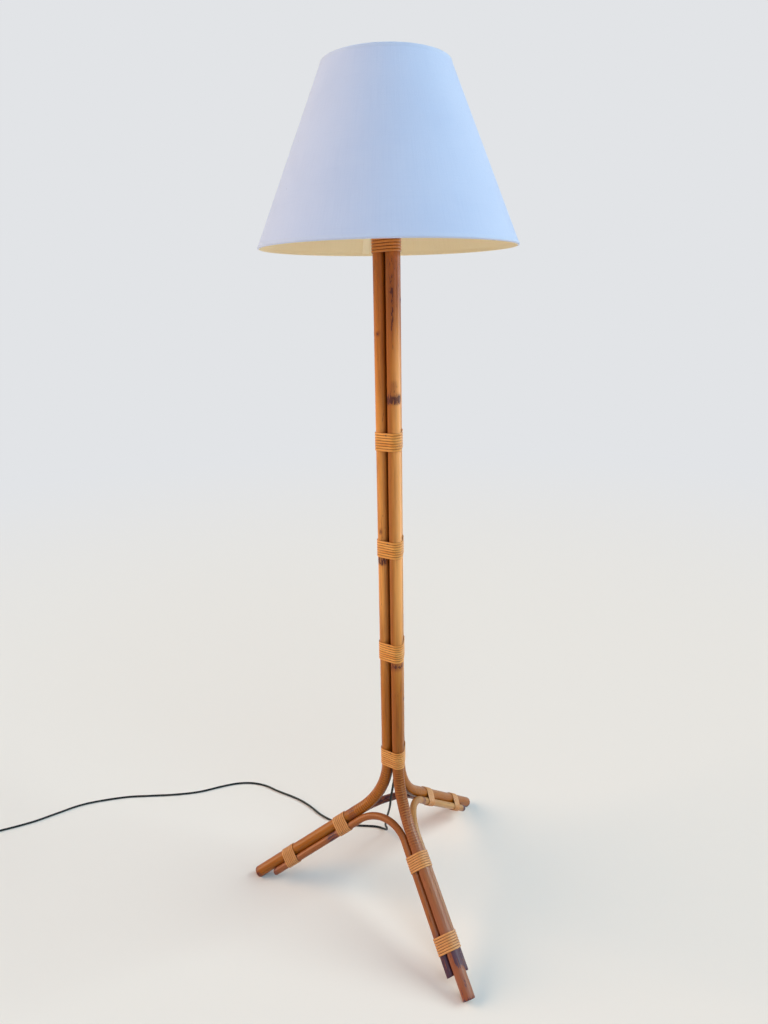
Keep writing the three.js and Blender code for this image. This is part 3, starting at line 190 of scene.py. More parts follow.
class Surface:
    """One material in the making: its node tree and its Principled shader.

    Args:
        name: The material's name.
        fixed: Values set on the shader's own sockets.
    """

    def __init__(self, name: str, **fixed: Any) -> None:
        """Starts the material."""
        self.material = bpy.data.materials.new(name)
        self.material.use_nodes = True
        self.tree = self.material.node_tree
        self.shader = self.tree.nodes["Principled BSDF"]
        for socket, value in fixed.items():
            self.shader.inputs[socket.replace("_", " ")].default_value = value

    def node(
        self,
        kind: str,
        settings: dict[str, Any] | None = None,
        values: dict[Any, Any] | None = None,
        output: Any = 0,
    ) -> Field:
        """Adds a node.

        Args:
            kind: The node's type.
            settings: Its own settings, or "stops" for a ramp.
            values: Values or Fields for its inputs, by name or place.
            output: The output to return.

        Returns:
            The chosen output.
        """
        node = self.tree.nodes.new(kind)
        for key, value in (settings or {}).items():
            if key == "stops":
                while len(node.color_ramp.elements) < len(value):
                    node.color_ramp.elements.new(0.5)
                for element, (place, colour) in zip(node.color_ramp.elements, value):
                    element.position = place
                    element.color = (*colour, 1)
            else:
                setattr(node, key, value)
        for key, value in (values or {}).items():
            if isinstance(value, Field):
                self.tree.links.new(value.socket, node.inputs[key])
            else:
                node.inputs[key].default_value = value
        return Field(self.tree, node.outputs[output])

    def places(self) -> Field:
        """The object's own coordinates."""
        return self.node("ShaderNodeTexCoord", output="Object")

    def attribute(self, name: str, output: str = "Vector") -> Field:
        """An attribute of the mesh."""
        return self.node("ShaderNodeAttribute", {"attribute_name": name}, output=output)

    def stretched(self, vector: Field, scale: Colour, shift: Colour = (0, 0, 0)) -> Field:
        """Coordinates scaled along each axis, then moved."""
        return self.node("ShaderNodeMapping", {}, {"Vector": vector, "Scale": scale, "Location": shift})

    def part(self, vector: Field, axis: int) -> Field:
        """One coordinate of a vector."""
        return self.node("ShaderNodeSeparateXYZ", {}, {0: vector}, axis)

    def noise(self, vector: Field, scale: float, detail: float = 3, roughness: float = 0.55) -> Field:
        """A noise from 0 to 1."""
        values = {"Vector": vector, "Scale": scale, "Detail": detail, "Roughness": roughness}
        return self.node("ShaderNodeTexNoise", {}, values)

    def cells(self, vector: Field, scale: float, feature: str = "F1") -> Field:
        """The distance field of scattered cells."""
        return self.node("ShaderNodeTexVoronoi", {"feature": feature}, {"Vector": vector, "Scale": scale})

    def mixed(self, share: Any, first: Any, second: Any) -> Field:
        """A colour between two others."""

        def whole(value: Any) -> Any:
            """A colour with its alpha."""
            return value if isinstance(value, Field) else (*value, 1)

        values = {0: share, 6: whole(first), 7: whole(second)}
        return self.node("ShaderNodeMix", {"data_type": "RGBA"}, values, 2)

    def feed(self, socket: str, value: Field) -> None:
        """Links a value to one of the shader's sockets."""
        self.tree.links.new(value.socket, self.shader.inputs[socket])

    def relief(self, height: Field, distance: float, strength: float = 1.0) -> None:
        """Bumps the surface by a height, after any relief that is already there."""
        node = self.tree.nodes.new("ShaderNodeBump")
        node.inputs["Distance"].default_value = distance
        node.inputs["Strength"].default_value = strength
        self.tree.links.new(height.socket, node.inputs["Height"])
        before = self.shader.inputs["Normal"]
        if before.is_linked:
            self.tree.links.new(before.links[0].from_socket, node.inputs["Normal"])
        self.tree.links.new(node.outputs[0], before)


# Finishes


@dataclass(frozen=True)
class LacqueredCane:
    """Smoked and lacquered cane bark, with its fibres, flecks, stains and bend rings, painted shade on its
    inward side and in the groove between poles, and painted light and shade across one side where asked.
    """

    name: str
    radius: float
    tones: tuple[tuple[float, Colour], ...] = (
        (0.0, written(164, 88, 18)),
        (0.15, written(174, 97, 14)),
        (0.22, written(172, 95, 12)),
        (0.36, written(190, 112, 34)),
        (0.5, written(232, 154, 76)),
        (0.74, written(230, 148, 68)),
        (0.84, written(206, 122, 46)),
        (1.0, written(180, 98, 32)),
    )
    brown: Colour = written(126, 56, 10)
    honey: Colour = written(228, 150, 62)
    ruddy: Colour = written(140, 66, 36)
    dark: Colour = written(78, 40, 40)
    plum: Colour = written(70, 46, 66)
    russet: Colour = written(152, 86, 54)
    # The next three are painted: shade in the groove between poles, shade on inward and darker sides, and
    # light on a paler side.
    painted_groove_shade: Colour = written(52, 20, 8)
    painted_shade: Colour = written(152, 78, 8)
    blend_tone: Colour = written(255, 174, 98)
    ring_pitch: float = 0.0055
    # Whether shade is painted into the groove between touching poles.
    paints_groove_shade: bool = True
    reddened: float = 0.0
    # How strongly light and shade are painted across the pole, 0 for none.
    painted_side_light: float = 0.0

    def material(self) -> bpy.types.Material:
        """Mixes the finish.

        Returns:
            The material, which reads the rod's run, stain and ridge attributes.
        """
        paint = Surface(self.name, Coat_Roughness=0.13, Coat_IOR=1.4, Specular_IOR_Level=0.1)
        run = paint.attribute(RUN)
        height = paint.part(paint.places(), 2)
        fibres = paint.noise(paint.stretched(run, (1, 1, 0.03)), 520, 4, 0.6)
        broad = paint.noise(paint.stretched(run, (1, 1, 0.06)), 150, 3)
        patches = paint.noise(paint.stretched(run, (1, 1, 0.4)), 16, 3)
        ragged = paint.noise(paint.stretched(run, (1, 1, 0.2)), 430, 3, 0.65)
        level = height / 1.4 + (patches - 0.5) * 0.1
        base = paint.node("ShaderNodeValToRGB", {"stops": self.tones}, {0: level})
        base = paint.mixed((broad * 0.7 + fibres * 0.3).step(0.4, 0.68) * 0.48, base, self.brown)
        base = paint.mixed((patches * 0.5 + broad * 0.5).step(0.56, 0.7) * 0.3, base, self.honey)
        flecks = paint.noise(paint.stretched(run, (1, 1, 0.14), (3, 1, 2)), 300, 2).step(0.66, 0.73)
        base = paint.mixed(flecks * 0.5, base, self.dark)
        ridge = paint.attribute(RIDGE, "Fac")
        wander = paint.noise(run, 60, 2)
        broken = paint.noise(run, 150, 3)
        along = paint.part(run, 2)
        rings = ((along * (math.tau / self.ring_pitch)) + wander * 7 + broken * 4).sine() * 0.5 + 0.5
        ringed = ridge * wander.step(0.25, 0.5) * broken.step(0.32, 0.56)
        base = paint.mixed(ringed * (1 - rings).step(0.2, 0.9) * 0.8, base, self.brown)
        base = paint.mixed(ringed * rings.step(0.6, 0.95) * 0.22, base, self.honey)
        if self.reddened:
            near = 1 - along.step(self.reddened - 0.05, self.reddened + 0.05)
            base = paint.mixed(near * 0.8, base, self.russet)
        # Painted shade: a rod's inward side, which on a pole faces the other two, darkens above the floor;
        # deep is its share.
        outward = paint.part(run, 1) * (1 / self.radius)
        upright = height.step(0.1, 0.5)
        deep = (1 - outward.step(-0.6, 0.15)) * 0.6
        # Painted light and shade across the pole: its side of negative across darkens, and the other side
        # is painted paler between about 0.5 and 1.3 m.
        if self.painted_side_light:
            aside = paint.part(run, 0) * (1 / self.radius)
            deep = deep.most((1 - aside.step(-0.98, -0.45)) * self.painted_side_light)
            painted_lit_band = height.step(0.5, 0.75) * (1 - height.step(1.15, 1.3)) * aside.step(-0.75, 0.3)
            base = paint.mixed(painted_lit_band * self.painted_side_light, base, self.blend_tone)
        # The painted shade of the inward and darker sides goes on here.
        base = paint.mixed(deep * upright, base, self.painted_shade)
        stain = paint.attribute(STAIN, "Fac")
        blotch = (stain + (ragged - 0.5) * 2.1).step(0.5, 0.68)
        base = paint.mixed(stain.step(0.02, 0.5) * 0.5, base, self.ruddy)
        burnt = paint.mixed(height.step(0.05, 0.4), self.plum, self.dark)
        base = paint.mixed(blotch * 0.88, base, burnt)
        # Painted shade in the narrow groove between the poles.
        if self.paints_groove_shade:
            base = paint.mixed((1 - outward.step(-0.86, -0.42)) * 0.85, base, self.painted_groove_shade)
        paint.feed("Base Color", base)
        paint.feed("Roughness", 0.36 + fibres * 0.16 + blotch * 0.12)
        paint.feed("Coat Weight", 0.46 - blotch * 0.16 - flecks * 0.25)
        paint.relief(fibres, 0.00012, 0.3)
        paint.relief(rings * ringed, 0.0008, 0.8)
        paint.relief(1 - blotch, 0.0003, 0.6)
        return paint.material


@dataclass(frozen=True)
class CutCane:
    """The sawn end of a cane, with its pores."""

    name: str = "cut_cane"
    pale: Colour = written(170, 128, 92)
    deep: Colour = written(96, 60, 38)

    def material(self) -> bpy.types.Material:
        """Mixes the finish of a sawn end."""
        paint = Surface(self.name, Coat_Weight=0.15, Coat_Roughness=0.4)
        place = paint.places()
        pores = paint.cells(place, 900).step(0.15, 0.4)
        cloud = paint.noise(place, 120, 3)
        paint.feed("Base Color", paint.mixed(pores * (0.6 + 0.4 * cloud), self.deep, self.pale))
        paint.feed("Roughness", 0.72 + cloud * 0.15)
        paint.relief(pores, 0.0004, 0.7)
        return paint.material


@dataclass(frozen=True)
class CanePeel:
    """The glossy outer peel of cane, as wound strands, with painted shade along each strand's edges."""

    name: str = "cane_peel"
    light: Colour = written(250, 174, 86)
    deep: Colour = written(220, 132, 46)
    ruddy: Colour = written(190, 112, 50)
    blend_tone: Colour = written(188, 126, 86)
    # Painted shade where the turns meet.
    shade: Colour = written(112, 56, 16)
    half: float = 0.00205

    def material(self) -> bpy.types.Material:
        """Mixes the finish of the wound strands, which run along their own attribute."""
        paint = Surface(self.name, Coat_Roughness=0.2, Coat_IOR=1.4, Specular_IOR_Level=0.15)
        run = paint.attribute(RUN)
        height = paint.part(paint.places(), 2)
        fibres = paint.noise(paint.stretched(run, (1, 1, 0.03)), 900, 3)
        turns = paint.noise(paint.stretched(run, (0.3, 0.3, 1)), 9, 3)
        nicks = paint.noise(paint.stretched(run, (1, 1, 0.25), (5, 2, 7)), 420, 2).step(0.67, 0.74)
        base = paint.mixed((fibres * 0.5 + turns * 0.5).step(0.34, 0.66), self.light, self.deep)
        base = paint.mixed((1 - height.step(0.1, 0.5)) * 0.6, base, self.blend_tone)
        base = paint.mixed(height.step(1.2, 1.32) * 0.85, base, self.ruddy)
        base = paint.mixed(nicks * 0.5, base, self.ruddy)
        # Painted shade: each strand darkens towards its edges, where the turns meet.
        side = (abs(paint.part(run, 0)) * (1 / self.half)).step(0.74, 1.0)
        paint.feed("Base Color", paint.mixed(side * 0.62, base, self.shade))
        paint.feed("Roughness", 0.36 + fibres * 0.2)
        paint.feed("Coat Weight", 0.35 + turns * 0.3)
        paint.relief(fibres, 0.00025, 0.5)
        return paint.material


@dataclass(frozen=True)
class TurnedWood:
    """Stained turned hardwood."""

    name: str = "turned_wood"
    light: Colour = written(150, 92, 48)
    deep: Colour = written(92, 50, 24)

    def material(self) -> bpy.types.Material:
        """Mixes the finish of the turned cap."""
        paint = Surface(self.name, Coat_Weight=0.35, Coat_Roughness=0.25)
        place = paint.places()
        grain = paint.noise(paint.stretched(place, (1, 0.08, 1)), 240, 4)
        growth = (paint.part(place, 0) * 1500 + paint.noise(place, 30, 2) * 16).sine() * 0.5 + 0.5
        paint.feed("Base Color", paint.mixed(grain * 0.6 + growth * 0.4, self.deep, self.light))
        paint.feed("Roughness", 0.42 + grain * 0.2)
        paint.relief(grain, 0.0002, 0.5)
        return paint.material


@dataclass(frozen=True)
class Metal:
    """Plain metal with fine brushed marks and dull spots."""

    name: str
    colour: Colour
    dull: Colour
    roughness: float = 0.3

    def material(self) -> bpy.types.Material:
        """Mixes the metal."""
        paint = Surface(self.name, Metallic=1.0)
        place = paint.places()
        brush = paint.noise(paint.stretched(place, (1, 1, 0.1)), 900, 3)
        spots = paint.noise(place, 160, 4).step(0.5, 0.72)
        paint.feed("Base Color", paint.mixed(spots * 0.6, self.colour, self.dull))
        paint.feed("Roughness", self.roughness + brush * 0.16 + spots * 0.12)
        paint.relief(brush, 0.00008, 0.4)
        return paint.material


@dataclass(frozen=True)
class Moulded:
    """A moulded or glazed finish of one colour with faint mottling and dust."""

    name: str
    colour: Colour
    worn: Colour
    roughness: float = 0.35
    coat: float = 0.2
    grain: float = 0.0001
    shine: float = 0.5

    def material(self) -> bpy.types.Material:
        """Mixes the moulded finish."""
        paint = Surface(
            self.name, Coat_Weight=self.coat, Coat_Roughness=0.2, Specular_IOR_Level=self.shine
        )
        place = paint.places()
        cloud = paint.noise(place, 90, 4)
        fine = paint.noise(place, 1400, 2)
        paint.feed("Base Color", paint.mixed(cloud.step(0.45, 0.75) * 0.5, self.colour, self.worn))
        paint.feed("Roughness", self.roughness + cloud * 0.12)
        paint.relief(fine, self.grain, 0.5)
        return paint.material


@dataclass(frozen=True)
class OpalGlass:
    """The bulb's white diffusing glass."""

    name: str = "opal_glass"
    white: Colour = written(238, 236, 228)

    def material(self) -> bpy.types.Material:
        """Mixes the glass."""
        paint = Surface(
            self.name, Coat_Weight=0.6, Coat_Roughness=0.08, Subsurface_Weight=0.3, Subsurface_Scale=0.01
        )
        cloud = paint.noise(paint.places(), 40, 3)
        paint.feed("Base Color", paint.mixed(cloud * 0.3, self.white, written(224, 220, 208)))
        paint.feed("Roughness", 0.22 + cloud * 0.1)
        return paint.material


@dataclass(frozen=True)
class Linen:
    """Closely woven fabric with slubs, which runs along the piece's own UV map in metres."""

    name: str
    white: Colour
    slub_tone_and_weave_shade: Colour
    thread: float = 0.0007
    lapped: Colour = written(236, 240, 250)
    slub: float = 0.35
    roughness: float = 0.82

    def material(self) -> bpy.types.Material:
        """Mixes the weave.

        Returns:
            The material, whose threads cross along U and V.
        """
        paint = Surface(self.name, Sheen_Weight=0.25, Sheen_Roughness=0.5, Specular_IOR_Level=0.25)
        flat = paint.node("ShaderNodeUVMap", {"uv_map": "cloth"})
        across, along = paint.part(flat, 0), paint.part(flat, 1)
        waver = paint.noise(flat, 40, 2)
        turn = math.pi / self.thread
        warp = abs((across * turn + waver * 4).sine())
        weft = abs((along * turn + waver * 4).sine())
        over = ((across * turn).sine() * (along * turn).sine()).step(-0.2, 0.2)
        weave = warp * over + weft * (1 - over)
        long_slubs = paint.noise(paint.stretched(flat, (1, 0.02, 1)), 620, 3).step(0.42, 0.7)
        cross_slubs = paint.noise(paint.stretched(flat, (0.02, 1, 1)), 560, 3).step(0.45, 0.72)
        slubs = long_slubs * 0.7 + cross_slubs * 0.4
        cloud = paint.noise(flat, 9, 3)
        # Slubs and cloud are the cloth's own tone; (1 - weave) paints shade between the threads.
        tone = slubs * self.slub + (1 - weave) * 0.3 + cloud.step(0.35, 0.8) * 0.25
        tone = (tone - paint.attribute(LAP, "Fac") * 0.6).most(-0.35)
        base = paint.mixed(tone.most(0), self.white, self.slub_tone_and_weave_shade)
        base = paint.mixed((tone * -2).most(0), base, self.lapped)
        specks = 1 - paint.cells(paint.stretched(flat, (1, 1, 1), (0.3, 0.7, 0)), 26).step(0.014, 0.03)
        base = paint.mixed(specks * 0.35, base, written(112, 108, 116))
        paint.feed("Base Color", base)
        paint.feed("Roughness", self.roughness + slubs * 0.08)
        paint.relief(weave, 0.00012, 0.5)
        paint.relief(slubs, 0.0002, 0.45)
        return paint.material


class Palette:
    """Every finish of the lamp, mixed once."""

    def __init__(self) -> None:
        """Mixes the finishes."""
        self.cane = LacqueredCane("lacquered_cane", radius=0.0123).material()
        self.front_cane = LacqueredCane(
            "front_lacquered_cane",
            radius=0.0123,
            tones=(
                # The low tones are pinker than the other poles': the cane's own colour with a painted
                # reflection of the sky on the front leg.
                (0.0, written(156, 90, 62)), (0.15, written(154, 88, 48)), (0.22, written(156, 86, 24)),
                *LacqueredCane.tones[3:],
            ),
            # Paints light and shade across the front pole.
            painted_side_light=0.8,
        ).material()
        self.brace = LacqueredCane(
            "lacquered_brace_cane",
            radius=0.0078,
            tones=(
                (0.0, written(150, 82, 50)), (0.08, written(166, 94, 48)),
                (0.13, written(170, 96, 44)), (0.2, written(140, 76, 42)),
            ),
            ruddy=written(122, 66, 58),
            dark=written(78, 40, 46),
            paints_groove_shade=False,
        ).material()
        self.pale_brace = LacqueredCane(
            "pale_brace_cane",
            radius=0.0078,
            tones=(
                (0.0, written(176, 116, 62)), (0.08, written(200, 144, 86)),
                (0.13, written(192, 134, 78)), (0.2, written(152, 94, 50)),
            ),
            brown=written(150, 86, 40),
            ruddy=written(122, 66, 58),
            dark=written(78, 40, 46),
            paints_groove_shade=False,
            reddened=0.24,
        ).material()
        self.cut = CutCane().material()
        self.peel = CanePeel().material()
        self.wood = TurnedWood().material()
        self.brass = Metal("brass", written(196, 158, 88), written(140, 106, 56), 0.28).material()
        self.steel = Metal("plated_steel", written(196, 196, 194), written(150, 148, 144)).material()
        self.bakelite = Moulded("bakelite", written(34, 30, 28), written(58, 52, 48), 0.3, 0.4).material()
        self.ceramic = Moulded(
            "ceramic", written(232, 228, 218), written(206, 200, 186), 0.3, 0.5
        ).material()
        self.glass = OpalGlass().material()
        self.linen = Linen(
            "linen", written(210, 218, 246), written(192, 203, 236), lapped=written(217, 224, 247), slub=0.2
        ).material()
        self.hem = Linen("hem_linen", written(211, 219, 245), written(192, 202, 233), slub=0.2).material()
        self.lining = Linen(
            "lining", written(246, 228, 190), written(232, 208, 164), thread=0.0009,
            lapped=written(250, 236, 206), slub=0.2,
        ).material()
        self.enamel = Moulded(
            "white_enamel", written(226, 224, 216), written(198, 194, 184), 0.35, 0.4
        ).material()
        self.flex = Moulded(
            "black_flex", written(17, 17, 18), written(30, 30, 30), 0.46, 0.04, 0.00015, 0.3
        ).material()


# Making pieces


@dataclass(frozen=True)
class Station:
    """One place on a rod's run: where a section stands, which way it faces and how large it is."""

    centre: Vector
    across: Vector
    outward: Vector
    along: float
    size: float = 1.0

    def matrix(self) -> Matrix:
        """Moves a flat section to this place."""
        ahead = self.across.cross(self.outward)
        return framed(self.across * self.size, self.outward * self.size, ahead, self.centre)


@dataclass(frozen=True)
class Mark:
    """A stain on a rod: where it is along it and, in degrees, round it, its reach and strength."""

    along: float
    reach: float
    strength: float = 1.0
    angle: float | None = None
    spread: float = 1.0

    def depth(self, along: float, angle: float) -> float:
        """How stained the rod is at a place.

        Args:
            along: The distance along the rod.
            angle: The angle round it, in radians.

        Returns:
            A share from 0 to the mark's strength.
        """
        deep = 1 - smooth(self.reach * 0.3, self.reach * 1.3, abs(along - self.along))
        if self.angle is None:
            return deep * self.strength
        turn = abs((angle - math.radians(self.angle) + math.pi) % math.tau - math.pi)
        return deep * self.strength * (1 - smooth(self.spread * 0.3, self.spread, turn))


class Workshop:
    """Turns bmeshes into dressed pieces that ride on the frame."""

    def __init__(self, palette: Palette) -> None:
        """Keeps the finishes."""
        self.palette = palette

    def piece(
        self,
        name: str,
        mesh: bmesh.types.BMesh,
        finishes: Iterable[bpy.types.Material],
        body: Body,
        slot: str,
        instead_of: Sequence[str] = (),
        bevel: float = 0.0,
        sharp: float = 40.0,
    ) -> bpy.types.Object:
        """Makes an object of a bmesh, and registers it with the frame.

        Args:
            name: The piece's name.
            mesh: Its bmesh, which is freed.
            finishes: Its materials, by face index.
            body: The body that it rides on.
            slot: Not used.
            instead_of: The CAD nodes that it stands for.
            bevel: The width of the edges' rounding, if any.
            sharp: The angle in degrees past which an edge shades sharply.

        Returns:
            The object.
        """
        data = bpy.data.meshes.new(name)
        mesh.to_mesh(data)
        mesh.free()
        data.shade_smooth()
        data.set_sharp_from_angle(angle=math.radians(sharp))
        for finish in finishes:
            data.materials.append(finish)
        made = bpy.data.objects.new(name, data)
        bpy.context.scene.collection.objects.link(made)
        if bevel:
            rounding = made.modifiers.new("rounding", "BEVEL")
            rounding.width = bevel
            rounding.segments = 2
            rounding.limit_method = "ANGLE"
            rounding.angle_limit = math.radians(35)
        self.register(made, body, slot, instead_of)
        return made

    def register(
        self, made: bpy.types.Object, body: Body, slot: str, instead_of: Sequence[str] = ()
    ) -> None:
        """Hangs a piece on its body and hides the CAD nodes that it stands for."""
        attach(made, body.value)
        if instead_of:
            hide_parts(*instead_of)
        log.info("%s rides on %s", made.name, body.value)

    def dress(self, node: str, finish: bpy.types.Material) -> None:
        """Gives a CAD node a better material in each of its slots."""
        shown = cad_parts[node]
        for place in shown.material_slots:
            place.material = finish
        log.info("%s keeps its shape", node)

    def swept(
        self,
        mesh: bmesh.types.BMesh,
        stations: Sequence[Station],
        sides: int,
        section: Callable[[Vector], Vector],
        marks: Sequence[Mark] = (),
        ridged: Callable[[float, float], float] | None = None,
        capped: bool = True,
    ) -> None:
        """Sweeps a section through stations by extruding its ring.

        Args:
            mesh: The bmesh to add to.
            stations: The places on the run.
            sides: Points round the section.
            section: Shapes a point of the unit circle into a point of the section.
            marks: Stains on the rod.
            ridged: How ringed the rod is at a distance along and an angle round it.
            capped: Whether the ends are closed.
        """
        layers = mesh.verts.layers
        run = layers.float_vector.get(RUN) or layers.float_vector.new(RUN)
        stain = layers.float.get(STAIN) or layers.float.new(STAIN)
        ridge = layers.float.get(RIDGE) or layers.float.new(RIDGE)
        ring = bmesh.ops.create_circle(mesh, cap_ends=False, segments=sides, radius=1.0)["verts"]
        edges = list({edge for vert in ring for edge in vert.link_edges})
        for vert in ring:
            vert.co = section(vert.co)
            vert[run] = vert.co.copy()
        ends = [edges]
        before = Matrix.Identity(4)
        for place, station in enumerate(stations):
            if place:
                made = bmesh.ops.extrude_edge_only(mesh, edges=edges)["geom"]
                ring = [item for item in made if isinstance(item, bmesh.types.BMVert)]
                fresh = set(ring)
                edges = [
                    item for item in made
                    if isinstance(item, bmesh.types.BMEdge) and fresh.issuperset(item.verts)
                ]
            after = station.matrix()
            bmesh.ops.transform(mesh, matrix=after @ before.inverted(), verts=ring)
            before = after
            for vert in ring:
                flat = vert[run]
                angle = math.atan2(flat.y, flat.x)
                vert[run] = Vector((flat.x, flat.y, station.along))
                vert[stain] = max((mark.depth(station.along, angle) for mark in marks), default=0.0)
                vert[ridge] = ridged(station.along, angle) if ridged else 0.0
        ends.append(edges)
        if capped:
            for end in ends:
                for face in bmesh.ops.contextual_create(mesh, geom=end)["faces"]:
                    face.material_index = 1

    @staticmethod
    def turned(
        mesh: bmesh.types.BMesh, profile: Profile, steps: int = 64, closed: bool = False
    ) -> list[bmesh.types.BMVert]:
        """Turns a profile of radii and heights round Z.

        Args:
            mesh: The bmesh to add to.
            profile: The outline's corners.
            steps: Faces round the piece.
            closed: Whether the outline closes on itself.

        Returns:
            The vertices that were made.
        """
        old = set(mesh.verts)
        verts = [mesh.verts.new((radius, 0, height)) for radius, height in profile]
        edges = [mesh.edges.new(pair) for pair in zip(verts, verts[1:])]
        if closed:
            edges.append(mesh.edges.new((verts[-1], verts[0])))
        bmesh.ops.spin(
            mesh, geom=verts + edges, cent=(0, 0, 0), axis=(0, 0, 1), dvec=(0, 0, 0),
            angle=math.tau, steps=steps, use_merge=True, use_duplicate=False,
        )
        made = [vert for vert in mesh.verts if vert not in old]
        bmesh.ops.remove_doubles(mesh, verts=made, dist=WELD)
        made = [vert for vert in mesh.verts if vert not in old]
        faces = list({face for vert in made for face in vert.link_faces})
        bmesh.ops.recalc_face_normals(mesh, faces=faces)
        return made

    @staticmethod
    def threaded(radius: float, depth: float, bottom: float, top: float, pitch: float) -> Profile:
        """A profile of round threads up a cylinder."""
        count = max(round((top - bottom) / pitch), 1)
        step = (top - bottom) / count
        points = [(radius - depth, bottom)]
        for turn in range(count):
            for share, reach in ((0.25, -0.3), (0.5, 0.0), (0.75, -0.3), (1.0, -1.0)):
                points.append((radius + depth * reach, bottom + step * (turn + share)))
        return points

    @staticmethod
    def gripped(verts: Iterable[bmesh.types.BMVert], radius: float, depth: float, count: int) -> None:
        """Presses shallow round grips into the points near a radius."""
        for vert in verts:
            reach = math.hypot(vert.co.x, vert.co.y)
            if reach > radius - depth / 2:
                angle = math.atan2(vert.co.y, vert.co.x)
                dent = smooth(0.1, 0.75, math.cos(angle * count)) * depth
                vert.co.xy *= (reach - dent) / reach


@dataclass(frozen=True)
class Plan:
    """The sizes and places that the stand's parts share."""

    axis_y: float = 0.050803
    pole_radius: float = 0.0123
    pole_circle: float = 0.0155
    pole_top: float = 1.398
    bend_radius: float = 0.158
    slope: float = math.radians(38.2)
    foot_circle: float = 0.319
    foot_filed: float = 0.0012
    brace_radius: float = 0.0078
    brace_angle: float = math.radians(49)
    brace_corner: float = 0.089
    brace_end: float = 0.284
    gap: float = 0.0003
    legs: tuple[str, ...] = ("front", "right", "left")

    @property
    def bend_turn(self) -> float:
        """The angle that a pole bends through."""
        return math.pi / 2 - self.slope

    @property
    def leg_start(self) -> float:
        """The radius at which a leg is straight."""
        return self.pole_circle + self.bend_radius * (1 - math.cos(self.bend_turn))

    @property
    def leg_start_height(self) -> float:
        """The height at which a leg is straight."""
        foot = self.pole_radius * math.cos(self.slope) - self.foot_filed
        return foot + (self.foot_circle - self.leg_start) * math.tan(self.slope)

    @property
    def bend_start_height(self) -> float:
        """The height at which the poles start to bend out."""
        return self.leg_start_height + self.bend_radius * math.sin(self.bend_turn)

    @property
    def brace_offset(self) -> float:
        """How far a brace rod's axis lies from the pole's."""
        return self.pole_radius + self.brace_radius + self.gap

    def azimuth(self, leg: int) -> float:
        """The direction of a leg."""
        return -math.pi / 2 + leg * math.tau / len(self.legs)

    def radial(self, radius: float, azimuth: float, height: float) -> Vector:
        """A direction or offset from the column's axis."""
        return Vector((radius * math.cos(azimuth), radius * math.sin(azimuth), height))

    def at(self, offset: Vector) -> Vector:
        """An offset from the column's foot as a place in the row's frame."""
        return offset + Vector((0, self.axis_y, 0))

    def down_leg(self, azimuth: float) -> Vector:
        """The direction down along a leg."""
        return self.radial(math.cos(self.slope), azimuth, -math.sin(self.slope))

    def under_leg(self, azimuth: float) -> Vector:
        """The direction square to a leg, towards the floor."""
        return self.radial(-math.sin(self.slope), azimuth, -math.cos(self.slope))

    def leg_point(self, azimuth: float, radius: float) -> Vector:
        """A point of a leg's straight axis, from the column's foot."""
        drop = (radius - self.leg_start) * math.tan(self.slope)
        return self.radial(radius, azimuth, self.leg_start_height - drop)

    def leg_along(self, radius: float) -> float:
        """The distance along a pole to a radius of its leg."""
        bend = self.bend_radius * self.bend_turn
        straight = self.pole_top - self.bend_start_height
        return straight + bend + (radius - self.leg_start) / math.cos(self.slope)


